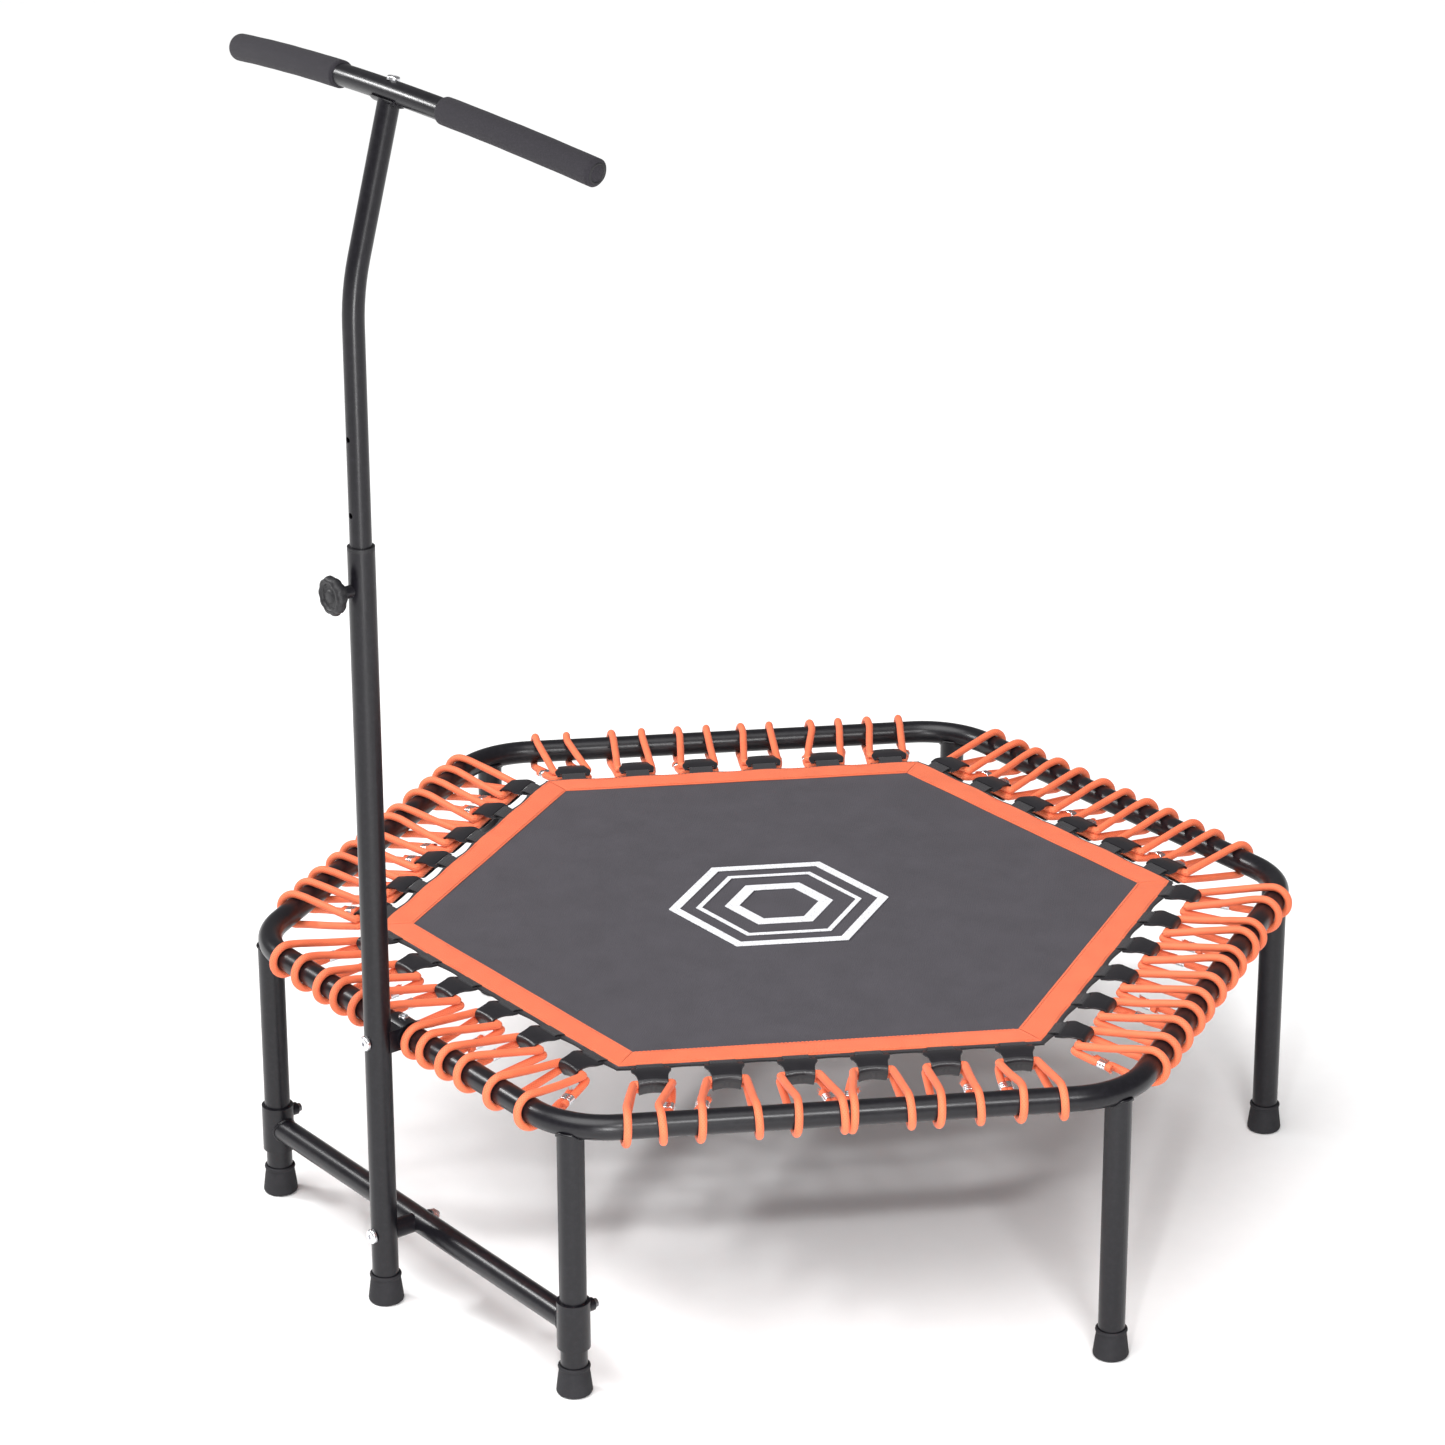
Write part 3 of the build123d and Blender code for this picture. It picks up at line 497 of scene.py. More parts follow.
CAD_FINISHES = {
    "powder_coat": POWDER,
    "rubber": RUBBER,
    "zinc_steel": ZINC,
    "black_steel": BLACK_STEEL,
    "black_plastic": PLASTIC,
    "foam": FOAM,
    "mat_weave": MAT_WEAVE,
    "orange_webbing": ORANGE_WEBBING,
    "black_webbing": BLACK_WEBBING,
    "clip_plastic": CLIP_PLASTIC,
    "bungee_cord": CORD,
    "ferrule_metal": FERRULE,
}
NODE_SLOT = {part["node"]: part["material_slot"] for part in frame["record"]["subparts"]}
for node_name, node in frame["nodes"].items():
    node.data.materials.clear()
    node.data.materials.append(CAD_FINISHES[NODE_SLOT[node_name]])
    node.data.polygons.foreach_set("use_smooth", [True] * len(node.data.polygons))
    smooth_by_angle(node)


def place(obj, body, slot_name, *replaced):
    """Let a finished piece ride on a body and hide the nodes it stands for.  slot_name, the record's
    slot, is not used.
    """
    if replaced:
        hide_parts(*replaced)
    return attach(obj, body)


# ---------------------------------------------------------------- camera, light and floor

VIEW_AZIMUTH = radians(52.64)
VIEW_ELEVATION = radians(22.0)
VIEW_ROLL = radians(-0.187)
VIEW_FROM = Vector((3.912, -3.069 + CENTRE.y, 2.572))
LENS_RATIO = 4652.1 / 1445    # focal length in picture widths
LIGHT_AIM = Vector((0.0, 0.0, 0.45))

# Name, azimuth, elevation, distance, width, height and power of each area light.
STRIPS = [
    ("strip_front", 50, 6, 2.6, 0.1, 0.5, 24),
    ("strip_left", -50, 32, 3.6, 0.7, 0.12, 60),
    ("strip_right", 68, 32, 3.6, 0.7, 0.12, 50),
]


def direction(azimuth, elevation):
    """The unit vector from the object towards an azimuth (from -Y towards +X) and elevation."""
    level = cos(elevation)
    return Vector((sin(azimuth) * level, -cos(azimuth) * level, sin(elevation)))


def make_camera():
    data = bpy.data.cameras.new("camera")
    camera = bpy.data.objects.new("camera", data)
    bpy.context.scene.collection.objects.link(camera)
    back = direction(VIEW_AZIMUTH, VIEW_ELEVATION)
    right = Vector((0, 0, 1)).cross(back).normalized()
    up = back.cross(right)
    rolled = Matrix((right, up, back)).transposed() @ Matrix.Rotation(VIEW_ROLL, 3, "Z")
    camera.matrix_world = Matrix.Translation(VIEW_FROM) @ rolled.to_4x4()
    data.sensor_width = 36.0
    data.lens = data.sensor_width * LENS_RATIO
    data.clip_end = 60.0
    bpy.context.scene.camera = camera


def aim(light, azimuth, elevation, distance):
    """Put a light at an azimuth and elevation in degrees, facing the object."""
    bpy.context.scene.collection.objects.link(light)
    back = direction(radians(azimuth), radians(elevation))
    light.location = LIGHT_AIM + back * distance
    light.rotation_mode = "QUATERNION"
    light.rotation_quaternion = back.to_track_quat("Z", "Y")


def area_light(name, azimuth, elevation, distance, width, height, power):
    data = bpy.data.lights.new(name, "AREA")
    data.shape = "RECTANGLE"
    data.size = width
    data.size_y = height
    data.energy = power
    light = bpy.data.objects.new(name, data)
    light.visible_camera = False
    aim(light, azimuth, elevation, distance)


def make_studio():
    scene = bpy.context.scene
    world = bpy.data.worlds.new("studio")
    scene.world = world
    world.use_nodes = True
    background = world.node_tree.nodes["Background"]
    background.inputs["Color"].default_value = (1.0, 1.0, 1.0, 1.0)
    background.inputs["Strength"].default_value = 0.24
    sun = bpy.data.lights.new("soft_sun", "SUN")
    sun.energy = 2.9
    sun.angle = radians(50)
    aim(bpy.data.objects.new("soft_sun", sun), 10, 66, 6.0)
    for strip_light in STRIPS:
        area_light(*strip_light)
    bpy.ops.mesh.primitive_plane_add(size=60)
    floor = bpy.context.object
    floor.name = "floor"
    paper = Material("floor_paper", (0.93, 0.93, 0.93), 0.9)
    fibre = paper.noise(40.0, 6.0)
    paper.colors(fibre, (0.91, 0.91, 0.91), (0.94, 0.94, 0.94))
    floor.data.materials.append(paper.material)
    scene.view_settings.view_transform = "Standard"


make_camera()
make_studio()


# ---------------------------------------------------------------- mat

def hexagon_corner(circle, corner):
    angle = STEP * corner
    return Vector((CENTRE.x + circle * cos(angle), CENTRE.y + circle * sin(angle), 0.0))


def make_mat():
    """The woven sheet: a taut hexagon with a slight dish and the softest of ripples."""
    rings, thick = 44, 0.0016
    top = [(CENTRE.x, CENTRE.y)]
    index = {(0, 0): 0}
    for ring in range(1, rings + 1):
        for corner in range(SIDES):
            a = hexagon_corner(SHEET_CIRCLE * ring / rings, corner)
            b = hexagon_corner(SHEET_CIRCLE * ring / rings, corner + 1)
            for j in range(ring):
                index[(ring, corner * ring + j)] = len(top)
                spot = a.lerp(b, j / ring)
                top.append((spot.x, spot.y))
    faces = []
    for ring in range(1, rings + 1):
        inner, outer = max((ring - 1) * SIDES, 1), ring * SIDES
        for corner in range(SIDES):
            for j in range(ring):
                here = index[(ring, (corner * ring + j) % outer)]
                ahead = index[(ring, (corner * ring + j + 1) % outer)]
                low = index[(ring - 1, (corner * (ring - 1) + j) % inner)]
                faces.append((low, here, ahead))
                if j < ring - 1:
                    low_ahead = index[(ring - 1, (corner * (ring - 1) + j + 1) % inner)]
                    faces.append((low, ahead, low_ahead))

    def height(x, y):
        reach = hypot(x - CENTRE.x, y - CENTRE.y) / SHEET_CIRCLE
        ripple = 0.00025 * (sin(31 * x + 17 * y) + sin(23 * y - 29 * x + 1.3))
        dish = 0.0012 * (1 - reach**2)
        return MAT_TOP - dish + ripple * (1 - reach)

    count = len(top)
    verts = [(x, y, height(x, y)) for x, y in top]
    verts += [(x, y, height(x, y) - thick) for x, y in top]
    under = [tuple(count + i for i in reversed(face)) for face in faces]
    edge = [index[(rings, j)] for j in range(rings * SIDES)]
    rim = [(a, count + a, count + b, b) for a, b in zip(edge, edge[1:] + edge[:1])]
    build = Build()
    build.add(verts, faces + under + rim)
    return place(build.object("mat_sheet", MAT_WEAVE), "mat", "mat_weave", "mat")


def edge_wave(side, across):
    """How the mat's edge lies: drawn out and up a little at each clip, easing between them."""
    phase = across / CLIP_PITCH + 0.5 * ((CLIPS_PER_SIDE + 1) % 2)
    pull = 0.5 + 0.5 * cos(tau * phase)
    drift = sin(37 * across + 2.1 * side) * sin(13 * across - side)
    return pull, drift


def strip(build, side, inner, outer, base, thick, scallop, lift):
    """A webbing strip along a side, mitred at both ends, with rounded long edges.

    scallop and lift are how far the clips draw its outer edge out and up.
    """
    steps, gap = 120, 0.0004
    shares = [i / 8 for i in range(9)]
    loop = [(f, thick * max(1 - abs(2 * f - 1) ** 10, 0.35)) for f in shares]
    loop += [(f, 0.0) for f in reversed(shares)]

    def row(k):
        points = []
        share = -1 + 2 * k / steps
        for f, rise in loop:
            out = inner + (outer - inner) * f
            across = share * (out * tan(STEP / 2) - gap)
            pull, drift = edge_wave(side, across)
            moved = out + scallop * f * (pull - 0.5) * 2
            z = base + rise + f * lift * pull + 0.00025 * drift
            points.append(side_point(side, across, moved, z))
        return points

    length = 2 * outer * tan(STEP / 2)
    width = outer - inner

    def uv(i, j):
        f = loop[j % len(loop)][0]
        return (i / steps * length, f * width)

    build.grid([row(k) for k in range(steps + 1)], close_u=True, caps=True, uv=uv)


def stitch(build, start, end):
    """One stitch that rises from the cloth and dips back into it."""
    radius = 0.00042
    points = []
    for i in range(5):
        f = i / 4
        spot = start.lerp(end, f)
        spot.z += radius * 1.1 * sin(pi * f) - radius * 0.4
        points.append(spot)
    build.tube(points, radius, sides=5)


def stitch_row(build, side, start, end, height):
    """Stitches between two places on a side, each place being (across, out)."""
    pitch, length = 0.0046, 0.0033
    (a0, o0), (a1, o1) = start, end
    run = hypot(a1 - a0, o1 - o0)
    for i in range(int(run / pitch)):
        f0, f1 = i * pitch / run, (i * pitch + length) / run
        stitch(
            build,
            side_point(side, a0 + (a1 - a0) * f0, o0 + (o1 - o0) * f0, height),
            side_point(side, a0 + (a1 - a0) * f1, o0 + (o1 - o0) * f1, height),
        )


def make_border():
    outer = BORDER_CIRCLE * APOTHEM
    inner = outer - BORDER_WIDTH
    base = MAT_TOP - 0.0002
    thick = BORDER_HIGH.z - base
    border, webbing, stitches = Build(), Build(), Build()
    for side in range(SIDES):
        strip(border, side, inner, outer, base, thick, 0.0007, 0.0006)
        strip(webbing, side, inner + 0.004, MAT_EDGE + 0.0012, MAT_LOW.z - 0.0017, 0.0018, 0.0022, 0.0008)
        strip(webbing, side, outer - 0.006, MAT_EDGE + 0.0004, MAT_LOW.z, 0.0014, 0.0018, 0.0006)
        slope = tan(STEP / 2)
        for out in (inner + 0.0028, outer - 0.0030):
            half = out * slope - 0.003
            stitch_row(stitches, side, (-half, out), (half, out), BORDER_HIGH.z + 0.0002)
        mitre = [(out * slope - 0.0035, out) for out in (inner + 0.003, outer - 0.003)]
        stitch_row(stitches, side, *mitre, BORDER_HIGH.z + 0.0001)
    pieces = [
        place(border.object("mat_border_webbing", ORANGE_WEBBING), "mat", "orange_webbing", "mat_border"),
        place(webbing.object("mat_edge_webbing", BLACK_WEBBING), "mat", "black_webbing", "mat_webbing"),
        place(stitches.object("border_stitches", ORANGE_THREAD), "mat", "orange_webbing"),
    ]
    for piece in pieces[:2]:
        smooth_by_angle(piece, 50)
    return pieces


def make_emblem():
    """A plain printed badge: three hexagon outlines, one inside another."""
    build = Build()
    height, thick, steps = MAT_TOP + 0.0001, 0.0006, 24
    outlines = [(0.130, 0.117), (0.098, 0.091), (0.064, 0.047)]
    for outer, inner in outlines:
        rows = []
        for circle in (outer, inner):
            row = []
            for corner in range(SIDES):
                a, b = hexagon_corner(circle, corner), hexagon_corner(circle, corner + 1)
                row += [a.lerp(b, j / steps) + Vector((0, 0, height)) for j in range(steps)]
            rows.append(row)
        low = [[p - Vector((0, 0, thick)) for p in row] for row in rows]
        build.grid([low[0], rows[0], rows[1], low[1]], close_u=True)
    return place(build.object("mat_emblem", INK, smooth=False), "mat", "mat_weave")


mat_sheet = make_mat()
mat_trim = make_border()
mat_trim.append(make_emblem())


# ---------------------------------------------------------------- clips and their webbing

def clip_profile():
    """The clip's middle surface as (out, height) points, from its bar round to its tip."""
    mid = CHANNEL_R + CLIP_WALL / 2
    end = UPPER[1] + mid
    start = CLIP_INNER + CLIP_WALL / 2
    line = []
    for i in range(19):
        f = i / 18
        line.append((start + (UPPER[0] - start) * f, end - 0.0006 * (1 - f) + 0.0017 * sin(pi * f)))
    slant = atan2(LOWER[0] - UPPER[0], UPPER[1] - LOWER[1])
    for i in range(1, 13):
        angle = pi / 2 + (slant - pi / 2) * i / 12
        line.append((UPPER[0] + mid * cos(angle), UPPER[1] + mid * sin(angle)))
    for i in range(13):
        angle = slant - radians(112) * i / 12
        line.append((LOWER[0] + mid * cos(angle), LOWER[1] + mid * sin(angle)))
    return line


# Half the clip's width at distances along its middle surface from the bar.
CLIP_HALF_WIDTHS = [
    (0.0, 0.0202), (0.006, 0.0217), (0.0095, 0.0222), (0.0125, 0.0215), (0.017, 0.0191), (0.022, 0.0176),
    (0.028, 0.0167), (0.036, 0.0163), (0.045, 0.0160), (0.060, 0.0150), (0.090, 0.0140),
]


def clip_half_width(distance):
    for (d0, w0), (d1, w1) in zip(CLIP_HALF_WIDTHS, CLIP_HALF_WIDTHS[1:]):
        if distance <= d1:
            return w0 + (w1 - w0) * (distance - d0) / (d1 - d0)
    return CLIP_HALF_WIDTHS[-1][1]


def clip_dents(across, distance):
    """Depth of the two small round dents beside each other in the clip's curl."""
    dent_along, dent_across, dent_r, deepest = 0.0385, 0.0026, 0.0014, 0.0009
    away = [hypot(across - d, distance - dent_along) for d in (-dent_across, dent_across)]
    return sum(deepest * max(0.0, 1 - d / dent_r) for d in away)


def make_clips():
    """The moulded hooks: a slotted plate that curls round the cord, waisted at its sides."""
    line = clip_profile()
    distances = [0.0]
    for (out_a, z_a), (out_b, z_b) in zip(line, line[1:]):
        distances.append(distances[-1] + hypot(out_b - out_a, z_b - z_a))
    columns, slot_columns = 29, range(3, 25)
    shares = [-1 + 2 * j / (columns - 1) for j in range(columns)]
    slot_low = CLIP_INNER + CLIP_BAR
    faces = []
    for i in range(len(line) - 1):
        in_slot = slot_low < (line[i][0] + line[i + 1][0]) / 2 < slot_low + CLIP_SLOT and i < 8
        for j in range(columns - 1):
            if not (in_slot and j in slot_columns):
                a = i * columns + j
                faces.append((a, a + columns, a + columns + 1, a + 1))
    build = Build()
    for side, middle in clip_places():
        verts = []
        for (out, z), distance in zip(line, distances):
            width = clip_half_width(distance)
            hook = min(max((distance - 0.026) / 0.014, 0.0), 1.0)
            for share in shares:
                across = share * width
                scoop = (1 - share * share) * hook
                crown = 0.0007 * (1 - share * share) * (1 - hook)
                moved = out - 0.0018 * scoop - clip_dents(across, distance)
                verts.append(side_point(side, middle + across, moved, z + crown + 0.0015 * scoop))
        build.add(verts, faces)
    clips = build.object("mat_clips", CLIP_PLASTIC)
    solid = clips.modifiers.new("wall", "SOLIDIFY")
    solid.thickness = CLIP_WALL
    solid.offset = 0.0
    solid.use_even_offset = True
    bevel(clips, 0.0006, 50)
    apply_modifiers(clips)
    smooth_by_angle(clips, 40)
    return place(clips, "mat", "clip_plastic", "clips")


def ribbon(build, side, middle, half, path, thick):
    """A band across a side that follows a path of (out, height) points."""
    count = len(path)
    left, right = [], []
    for i in range(count):
        a, b = path[max(i - 1, 0)], path[min(i + 1, count - 1)]
        run = hypot(b[0] - a[0], b[1] - a[1])
        normal = (-(b[1] - a[1]) / run * thick / 2, (b[0] - a[0]) / run * thick / 2)
        left.append((path[i][0] + normal[0], path[i][1] + normal[1]))
        right.append((path[i][0] - normal[0], path[i][1] - normal[1]))
    outline = left + right[::-1]
    steps = 10
    rows = []
    for k in range(steps + 1):
        share = -1 + 2 * k / steps
        across = middle + half * share
        rows.append([side_point(side, across, out, z) for out, z in outline])

    def uv(i, j):
        j = j % len(outline)
        along = j if j < count else 2 * count - 1 - j
        return (along * 0.002, i / steps * 2 * half)

    build.grid(rows, close_u=True, caps=True, uv=uv)


def make_webbing_loops():
    """The short bands that go from the mat's edge through each clip's slot and back."""
    bar = CLIP_INNER + CLIP_BAR / 2
    plate = UPPER[1] + CHANNEL_R + CLIP_WALL / 2 - 0.0004
    clear = CLIP_WALL / 2 + 0.0009
    half, thick = 0.0143, 0.0012
    build = Build()
    for side, middle in clip_places():
        path = [(MAT_EDGE - 0.008, MAT_LOW.z + 0.0004), (MAT_EDGE - 0.003, MAT_LOW.z + 0.0004)]
        path += [(MAT_EDGE + 0.001, plate - clear + 0.0001), (bar - 0.001, plate - clear)]
        for i in range(7):
            angle = -pi / 2 + pi * i / 6
            path.append((bar + 0.0012 + clear * cos(angle), plate + clear * sin(angle)))
        path += [(bar - 0.001, plate + clear), (MAT_EDGE + 0.001, plate + clear - 0.0009)]
        path += [(MAT_EDGE - 0.0025, MAT_TOP + 0.0009), (MAT_EDGE - 0.0044, MAT_TOP + 0.0003)]
        ribbon(build, side, middle, half, path, thick)
    loops = build.object("clip_webbing_loops", BLACK_WEBBING)
    smooth_by_angle(loops, 40)
    return place(loops, "mat", "black_webbing", "webbing_loops")


mat_trim.append(make_clips())
mat_trim.append(make_webbing_loops())


# ---------------------------------------------------------------- bungee loops

def wrap_points(start, end, across_start, across_end):
    """Control points that draw the cord round the ring, between the angles where it touches it.

    They are the corners of a polygon whose sides touch the cord's circle, with one more point
    on the strand before it and after it.
    """
    steps = 4
    half = (end - start) / steps / 2
    reach = WRAP_R / cos(half)
    angles = [start - half] + [start + (2 * i + 1) * half for i in range(steps)] + [end + half]
    found = []
    for i, angle in enumerate(angles):
        across = across_start + (across_end - across_start) * i / (steps + 1)
        found.append((across, RING_OUT + reach * cos(angle), RING_Z + reach * sin(angle)))
    return found


def touch_angle(spot, up):
    """Where a strand from the clip first touches the ring, as an angle round its tube."""
    out, rise = RING_OUT - spot[0], RING_Z - spot[1]
    return up * pi / 2 + atan2(rise, out) + up * asin(WRAP_R / hypot(out, rise))


def loop_route(middle, left, right, rng):
    """Control points of one cord: from its tail through the ferrule, both strands, and back."""
    shift = 0.004
    over, under = touch_angle(UPPER, 1), touch_angle(LOWER, -1)
    wrap_right = wrap_points(under, over, right + shift, right)
    wrap_left = wrap_points(over, under, left, left - shift)
    low_start = Vector((middle - TURN_AT, *LOWER))
    run = (Vector(wrap_left[-1]) - low_start).normalized()
    ferrule = low_start + run * ((FERRULE_OUT - low_start.y) / run.y)
    beside = (Vector((1, 0, 0)) - run * run.x).normalized()

    def near_ferrule(along, aside):
        return tuple(ferrule + run * along + beside * aside)

    def strand(a, b):
        """Two points that keep the run between a clip and the ring straight, near its ends."""
        a, b = Vector(a), Vector(b)
        length = (b - a).length
        slack = Vector((rng.uniform(-0.0007, 0.0007), 0, rng.uniform(-0.0009, 0.0003)))
        first, last = a.lerp(b, 0.006 / length), a.lerp(b, 1 - 0.012 / length)
        return [tuple(first), tuple(a.lerp(b, 0.5) + slack), tuple(last)]

    def channel(spot, way):
        """The strand that lies inside the clip, across it."""
        places = [-TURN_AT, 0.005 - TURN_AT, -0.007, 0.007, TURN_AT - 0.005, TURN_AT]
        return [(middle + way * across, *spot) for across in places]

    low, high = channel(LOWER, 1), channel(UPPER, -1)
    tail = [(0.0125, -0.0042), (0.0055, -0.0031), (-0.0055, -0.0031)]
    head = [(0.017, 0.0026), (0.0055, 0.0031), (-0.0055, 0.0031), (-0.0115, 0.0046)]
    route = [near_ferrule(*spot) for spot in tail]
    route += low + strand(low[-1], wrap_right[0]) + wrap_right
    route += strand(high[0], wrap_right[-1])[::-1] + high
    route += strand(high[-1], wrap_left[0]) + wrap_left
    route += [near_ferrule(*spot) for spot in head]
    return route, ferrule, run, beside


def make_ferrule(build, middle, run, beside, to_frame):
    """A band crimped round both strands, with three raised ridges."""
    above = run.cross(beside)
    half, spread, stations, sides = 0.0052, 0.0031, 29, 20
    rows = []
    for i in range(stations):
        f = i / (stations - 1)
        ridge = 0.00045 * abs(sin(3 * pi * f)) ** 0.7
        round_off = 0.0008 * max(0.0, abs(2 * f - 1) - 0.85) / 0.15
        r = 0.0043 + ridge - round_off
        row = []
        for j in range(sides):
            angle = tau * j / sides
            aside = spread * (1 if cos(angle) > 0 else -1) + r * cos(angle)
            spot = middle + run * (half * (2 * f - 1)) + beside * aside + above * (r * sin(angle))
            row.append(to_frame(spot))
        rows.append(row)
    build.grid(rows, close_u=True, caps=True)


def make_fray(build, tip, heading, rng, to_frame):
    """Loose yarn ends where the cord was cut."""
    side_a = heading.orthogonal().normalized()
    side_b = heading.cross(side_a)
    for _ in range(16):
        angle, reach = rng.uniform(0, tau), rng.uniform(0.0008, 0.0034)
        foot = tip + side_a * (reach * cos(angle)) + side_b * (reach * sin(angle)) - heading * 0.0015
        lean = side_a * cos(angle) + side_b * sin(angle)
        points = []
        length = rng.uniform(0.003, 0.0062)
        for k in range(4):
            f = k / 3
            spread = 0.0026 * f * f * rng.uniform(0.4, 1.4)
            points.append(to_frame(foot + heading * (length * f) + lean * spread))
        build.tube(points, lambda f, _: 0.00048 * (1 - 0.6 * f), sides=4)


def cord_radius(total):
    """The radius along a cord of this length: thinner near both ends, where it is crimped."""
    def radius(_, along):
        from_end = min(along, total - along)
        pinch = max(0.0, 1 - abs(from_end - 0.0125) / 0.0085)
        return CORD_R * (1 - 0.24 * min(1.0, 1.6 * pinch))

    return radius


def make_loop(cords, ferrules, frays, side, number, rng):
    """One cord with its ferrule and frayed ends.  Every other loop is built mirrored."""
    left, right = [crossing / 1000 for crossing in SIDE_WRAPS[side][number]]
    sign = 1
    if (side + number) % 2 == 1:
        sign, left, right = -1, -right, -left
    route, spot, run, beside = loop_route(sign * clip_middle(number), left, right, rng)

    def to_frame(p):
        return side_point(side, sign * p[0], p[1], p[2])

    smooth = spline([to_frame(p) for p in route])
    total = sum((b - a).length for a, b in zip(smooth, smooth[1:]))
    cords.tube(smooth, cord_radius(total), sides=14)
    make_ferrule(ferrules, spot, run, beside, to_frame)
    for tip, before in ((route[0], route[1]), (route[-1], route[-2])):
        tip = Vector(tip)
        make_fray(frays, tip, (tip - Vector(before)).normalized(), rng, to_frame)


def make_bungees():
    """Six cords, their ferrules and their frayed ends on each side, stretched from ring to mat."""
    rng = random.Random(7)
    for side in range(SIDES):
        cords, ferrules, frays = Build(), Build(), Build()
        for number in range(CLIPS_PER_SIDE):
            make_loop(cords, ferrules, frays, side, number, rng)
        for build, name, material, slot_name, node in (
            (cords, "bungee_cords", CORD, "bungee_cord", "bungees"),
            (ferrules, "bungee_ferrules", FERRULE, "ferrule_metal", "ferrules"),
            (frays, "bungee_frayed_ends", ORANGE_THREAD, "bungee_cord", "bungees"),
        ):
            piece = build.object(f"{name}_side_{side + 1}", material)
            if material is FERRULE:
                smooth_by_angle(piece, 50)
            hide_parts(node)
            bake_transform(piece)


make_bungees()


# ---------------------------------------------------------------- feet, welds and sleeve beads

def lathe(build, base, profile):
    """A turned shape: profile is (radius, height) points, closed at both ends."""
    sides = 48
    rows = []
    for radius, height in profile:
        angles = [tau * j / sides for j in range(sides)]
        rows.append([base + Vector((radius * cos(a), radius * sin(a), height)) for a in angles])
    build.grid(rows, close_u=True, caps=True)


def make_feet():
    """Flared rubber cups with a rolled lip and two fine grooves."""
    roll, bore = 0.0042, 0.0151
    for node_name in sorted(name for name in frame["nodes"] if "foot" in name):
        low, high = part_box(node_name)
        spot = Vector(((low.x + high.x) / 2, (low.y + high.y) / 2, low.z))
        base = (high.x - low.x) / 2
        tall = high.z - low.z
        top = base - 0.0033
        profile = [(base * 0.3, 0.0), (base - roll, 0.0)]
        for i in range(1, 7):
            angle = pi / 2 * i / 6
            profile.append((base - roll + roll * sin(angle), roll - roll * cos(angle)))
        for i in range(1, 22):
            f = i / 21
            z = roll + (tall - 0.0085) * f
            groove = sum(0.0005 * max(0.0, 1 - abs(z - g) / 0.0009) for g in (tall * 0.72, tall * 0.80))
            profile.append((base + (top - base) * f - groove, z))
        lip = top + 0.0002
        profile += [(lip + 0.0006, tall - 0.0038), (lip + 0.001, tall - 0.0022)]
        profile += [(lip + 0.0007, tall - 0.0008), (lip - 0.0002, tall)]
        profile += [(bore + 0.0006, tall), (bore, tall - 0.0008), (bore, tall - 0.006)]
        build = Build()
        lathe(build, spot, profile)
        foot = build.object(f"rubber_{node_name}", RUBBER)
        smooth_by_angle(foot, 50)
        place(foot, "frame", "rubber", node_name)


def bead(build, path, rng):
    """A weld bead: a closed tube along a path, in overlapping puddles."""
    puddle = 0.0017

    def radius(_, along):
        return BEAD_R * (1 + 0.16 * sin(along / puddle * pi) + rng.uniform(-0.08, 0.08))

    build.tube(path, radius, sides=7, closed=True)


def make_welds():
    """The beads where the leg sockets meet the ring and the crossbar meets its sleeves."""
    rng = random.Random(11)
    build = Build()
    turns = [tau * j / 64 for j in range(64)]
    for corner in range(SIDES):
        low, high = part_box(f"leg_{corner + 1}")
        x, y = (low.x + high.x) / 2, (low.y + high.y) / 2
        outward = Vector((x - CENTRE.x, y - CENTRE.y, 0)).normalized()
        sideways = Vector((-outward.y, outward.x, 0))
        path = []
        for angle in turns:
            away = (LEG_R + 0.0001) * cos(angle)
            drop = sqrt(max((TUBE_R + 0.0004) ** 2 - away**2, 0.0065**2))
            path.append(Vector((x, y, RING_Z - drop)) + outward * away + sideways * (LEG_R * sin(angle)))
        bead(build, path, rng)
    bar_low, bar_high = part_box("crossbar")
    bar_y, bar_z = (bar_low.y + bar_high.y) / 2, (bar_low.z + bar_high.z) / 2
    for name, inward in (("crossbar_sleeve_left", 1), ("crossbar_sleeve_right", -1)):
        low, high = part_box(name)
        sleeve_x, sleeve_r = (low.x + high.x) / 2, (high.x - low.x) / 2
        path = []
        for angle in turns:
            y, z = TUBE_R * cos(angle), TUBE_R * sin(angle)
            x = sleeve_x + inward * (sqrt(sleeve_r**2 - y**2) + 0.0003)
            path.append(Vector((x, bar_y + y, bar_z + z)))
        bead(build, path, rng)
    place(build.object("weld_beads", POWDER), "frame", "powder_coat")


make_feet()
make_welds()


# ---------------------------------------------------------------- grips and knob

BAR_LOW, BAR_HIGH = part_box("handlebar")
BAR_R = 0.012
BAR_HALF = 0.323
BAR_SWEEP, BAR_DROOP = 0.022, 0.020
GRIP_START, GRIP_END, GRIP_R = 0.094, 0.328, 0.0148
BAR_MIDDLE = Vector((0.0, BAR_LOW.y + BAR_R, BAR_HIGH.z - BAR_R))


def bar_point(x):
    """A point on the handlebar's centre line."""
    offset = hypot(BAR_SWEEP, BAR_DROOP)
    bend_r = (BAR_HALF**2 + offset**2) / (2 * offset)
    bow = bend_r - sqrt(bend_r**2 - x**2)
    return BAR_MIDDLE + Vector((x, bow * BAR_SWEEP / offset, -bow * BAR_DROOP / offset))


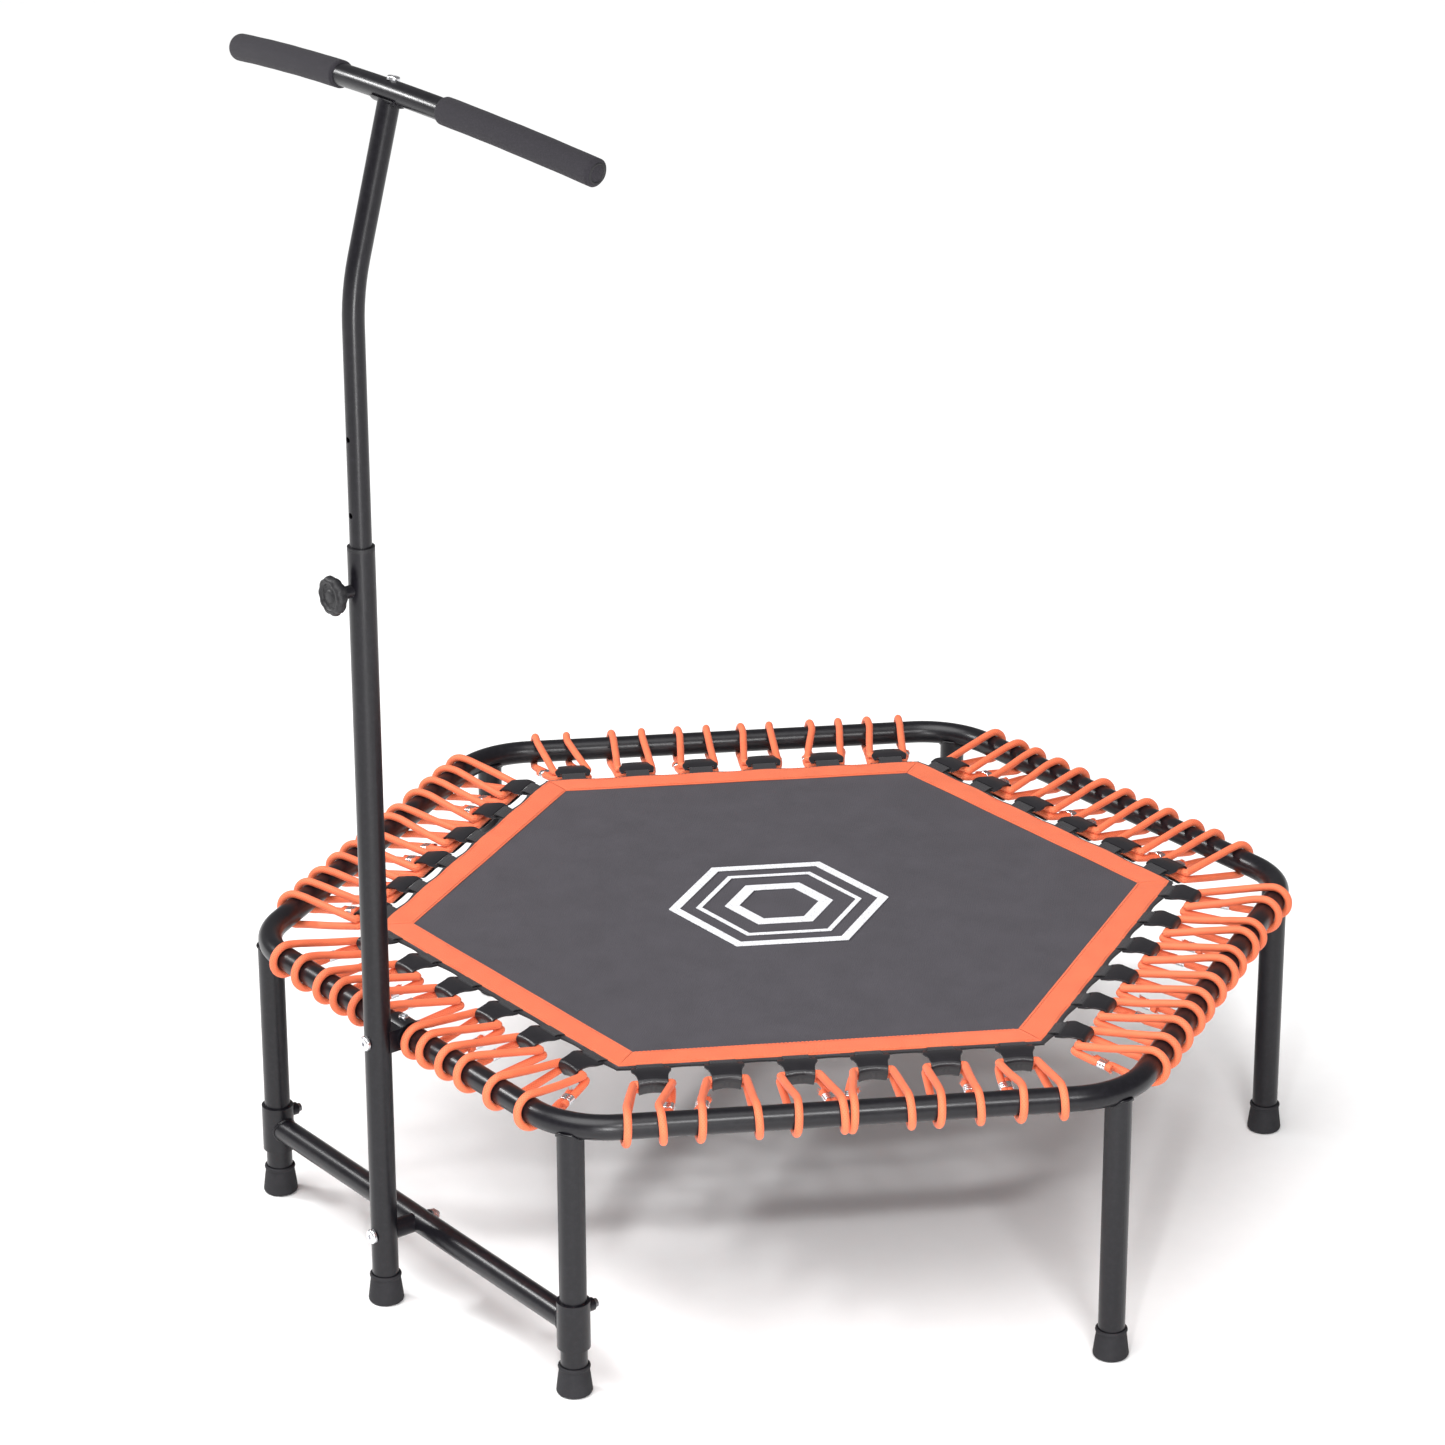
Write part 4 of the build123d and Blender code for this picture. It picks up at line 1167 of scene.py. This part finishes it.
def make_grip(name, hand):
    """A foam sleeve with soft ends, slightly uneven as foam is."""
    count, soft = 90, 0.0028
    length = GRIP_END - GRIP_START
    points = [bar_point(hand * (GRIP_START + length * i / (count - 1))) for i in range(count)]

    def radius(f, along):
        edge = min(f, 1 - f) * length
        round_off = soft * (1 - sqrt(max(0.0, 1 - (1 - min(edge / soft, 1.0)) ** 2)))
        return GRIP_R - round_off + 0.00012 * sin(along * 90) * sin(along * 37 + 1)

    build = Build()
    build.tube(points, radius, sides=40)
    grip = build.object(name, FOAM)
    return place(grip, "handle", "foam", name.replace("foam_", ""))


def make_cap_rings():
    """The shallow ring and disc moulded in each grip's end."""
    build = Build()
    profile = [(0.0112, -0.001), (0.0112, 0.0004), (0.0106, 0.0008), (0.0094, 0.0008), (0.0088, 0.0003)]
    profile += [(0.0086, -0.0002), (0.003, -0.0002), (0.0005, -0.0001)]
    turns = [tau * j / 40 for j in range(40)]
    for hand in (-1, 1):
        end = bar_point(hand * GRIP_END)
        outward = (end - bar_point(hand * 0.320)).normalized()
        aside = outward.orthogonal().normalized()
        other = outward.cross(aside)
        rows = []
        for radius, height in profile:
            middle = end + outward * height
            rows.append([middle + aside * (radius * cos(a)) + other * (radius * sin(a)) for a in turns])
        build.grid(rows, close_u=True, caps=True)
    rings = build.object("grip_end_rings", PLASTIC)
    smooth_by_angle(rings, 50)
    return place(rings, "handle", "black_plastic")


def make_knob():
    """A fluted knob with a rolled rim and a dished face with a raised hub."""
    low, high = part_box("knob")
    stud_low, stud_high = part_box("knob_stud")
    axis = Vector(((stud_low.x + stud_high.x) / 2, high.y, (stud_low.z + stud_high.z) / 2))
    depth = high.y - low.y
    full = (high.x - low.x) / 2 + 0.0004
    sides, flutes, flute_depth = 128, 10, 0.0014
    # Radius, height and how much of the flutes' depth each ring of points takes.
    profile = [(0.0085, 0.0, 0.0), (0.0108, 0.0, 0.0), (0.0112, 0.0012, 0.0), (0.0118, 0.0042, 0.0)]
    profile += [(0.0160, 0.0052, 0.35), (0.0186, 0.0060, 0.8), (0.0200, 0.0076, 1.0)]
    profile += [(full, 0.0105, 1.0), (full, 0.0135, 1.0), (full - 0.0008, depth - 0.0022, 1.0)]
    profile += [(full - 0.0024, depth - 0.0006, 0.9), (full - 0.0048, depth, 0.6)]
    profile += [(full - 0.0066, depth - 0.0002, 0.3), (full - 0.0078, depth - 0.0014, 0.15)]
    profile += [(full - 0.0086, depth - 0.0026, 0.05), (0.0082, depth - 0.0028, 0.0)]
    profile += [(0.0074, depth - 0.0024, 0.0), (0.0068, depth - 0.0012, 0.0)]
    profile += [(0.0056, depth - 0.0008, 0.0), (0.0006, depth - 0.0007, 0.0)]
    rows = []
    for radius, height, fluted in profile:
        row = []
        for j in range(sides):
            angle = tau * j / sides
            valley = (0.5 - 0.5 * cos(flutes * angle)) ** 1.4
            r = radius - flute_depth * fluted * valley
            row.append(axis + Vector((r * cos(angle), -height, r * sin(angle))))
        rows.append(row)
    build = Build()
    build.grid(rows, close_u=True, caps=True)
    knob = build.object("star_knob", PLASTIC)
    smooth_by_angle(knob, 55)
    return place(knob, "knob", "black_plastic", "knob")


make_grip("foam_grip_left", -1)
make_grip("foam_grip_right", 1)
make_cap_rings()
make_knob()
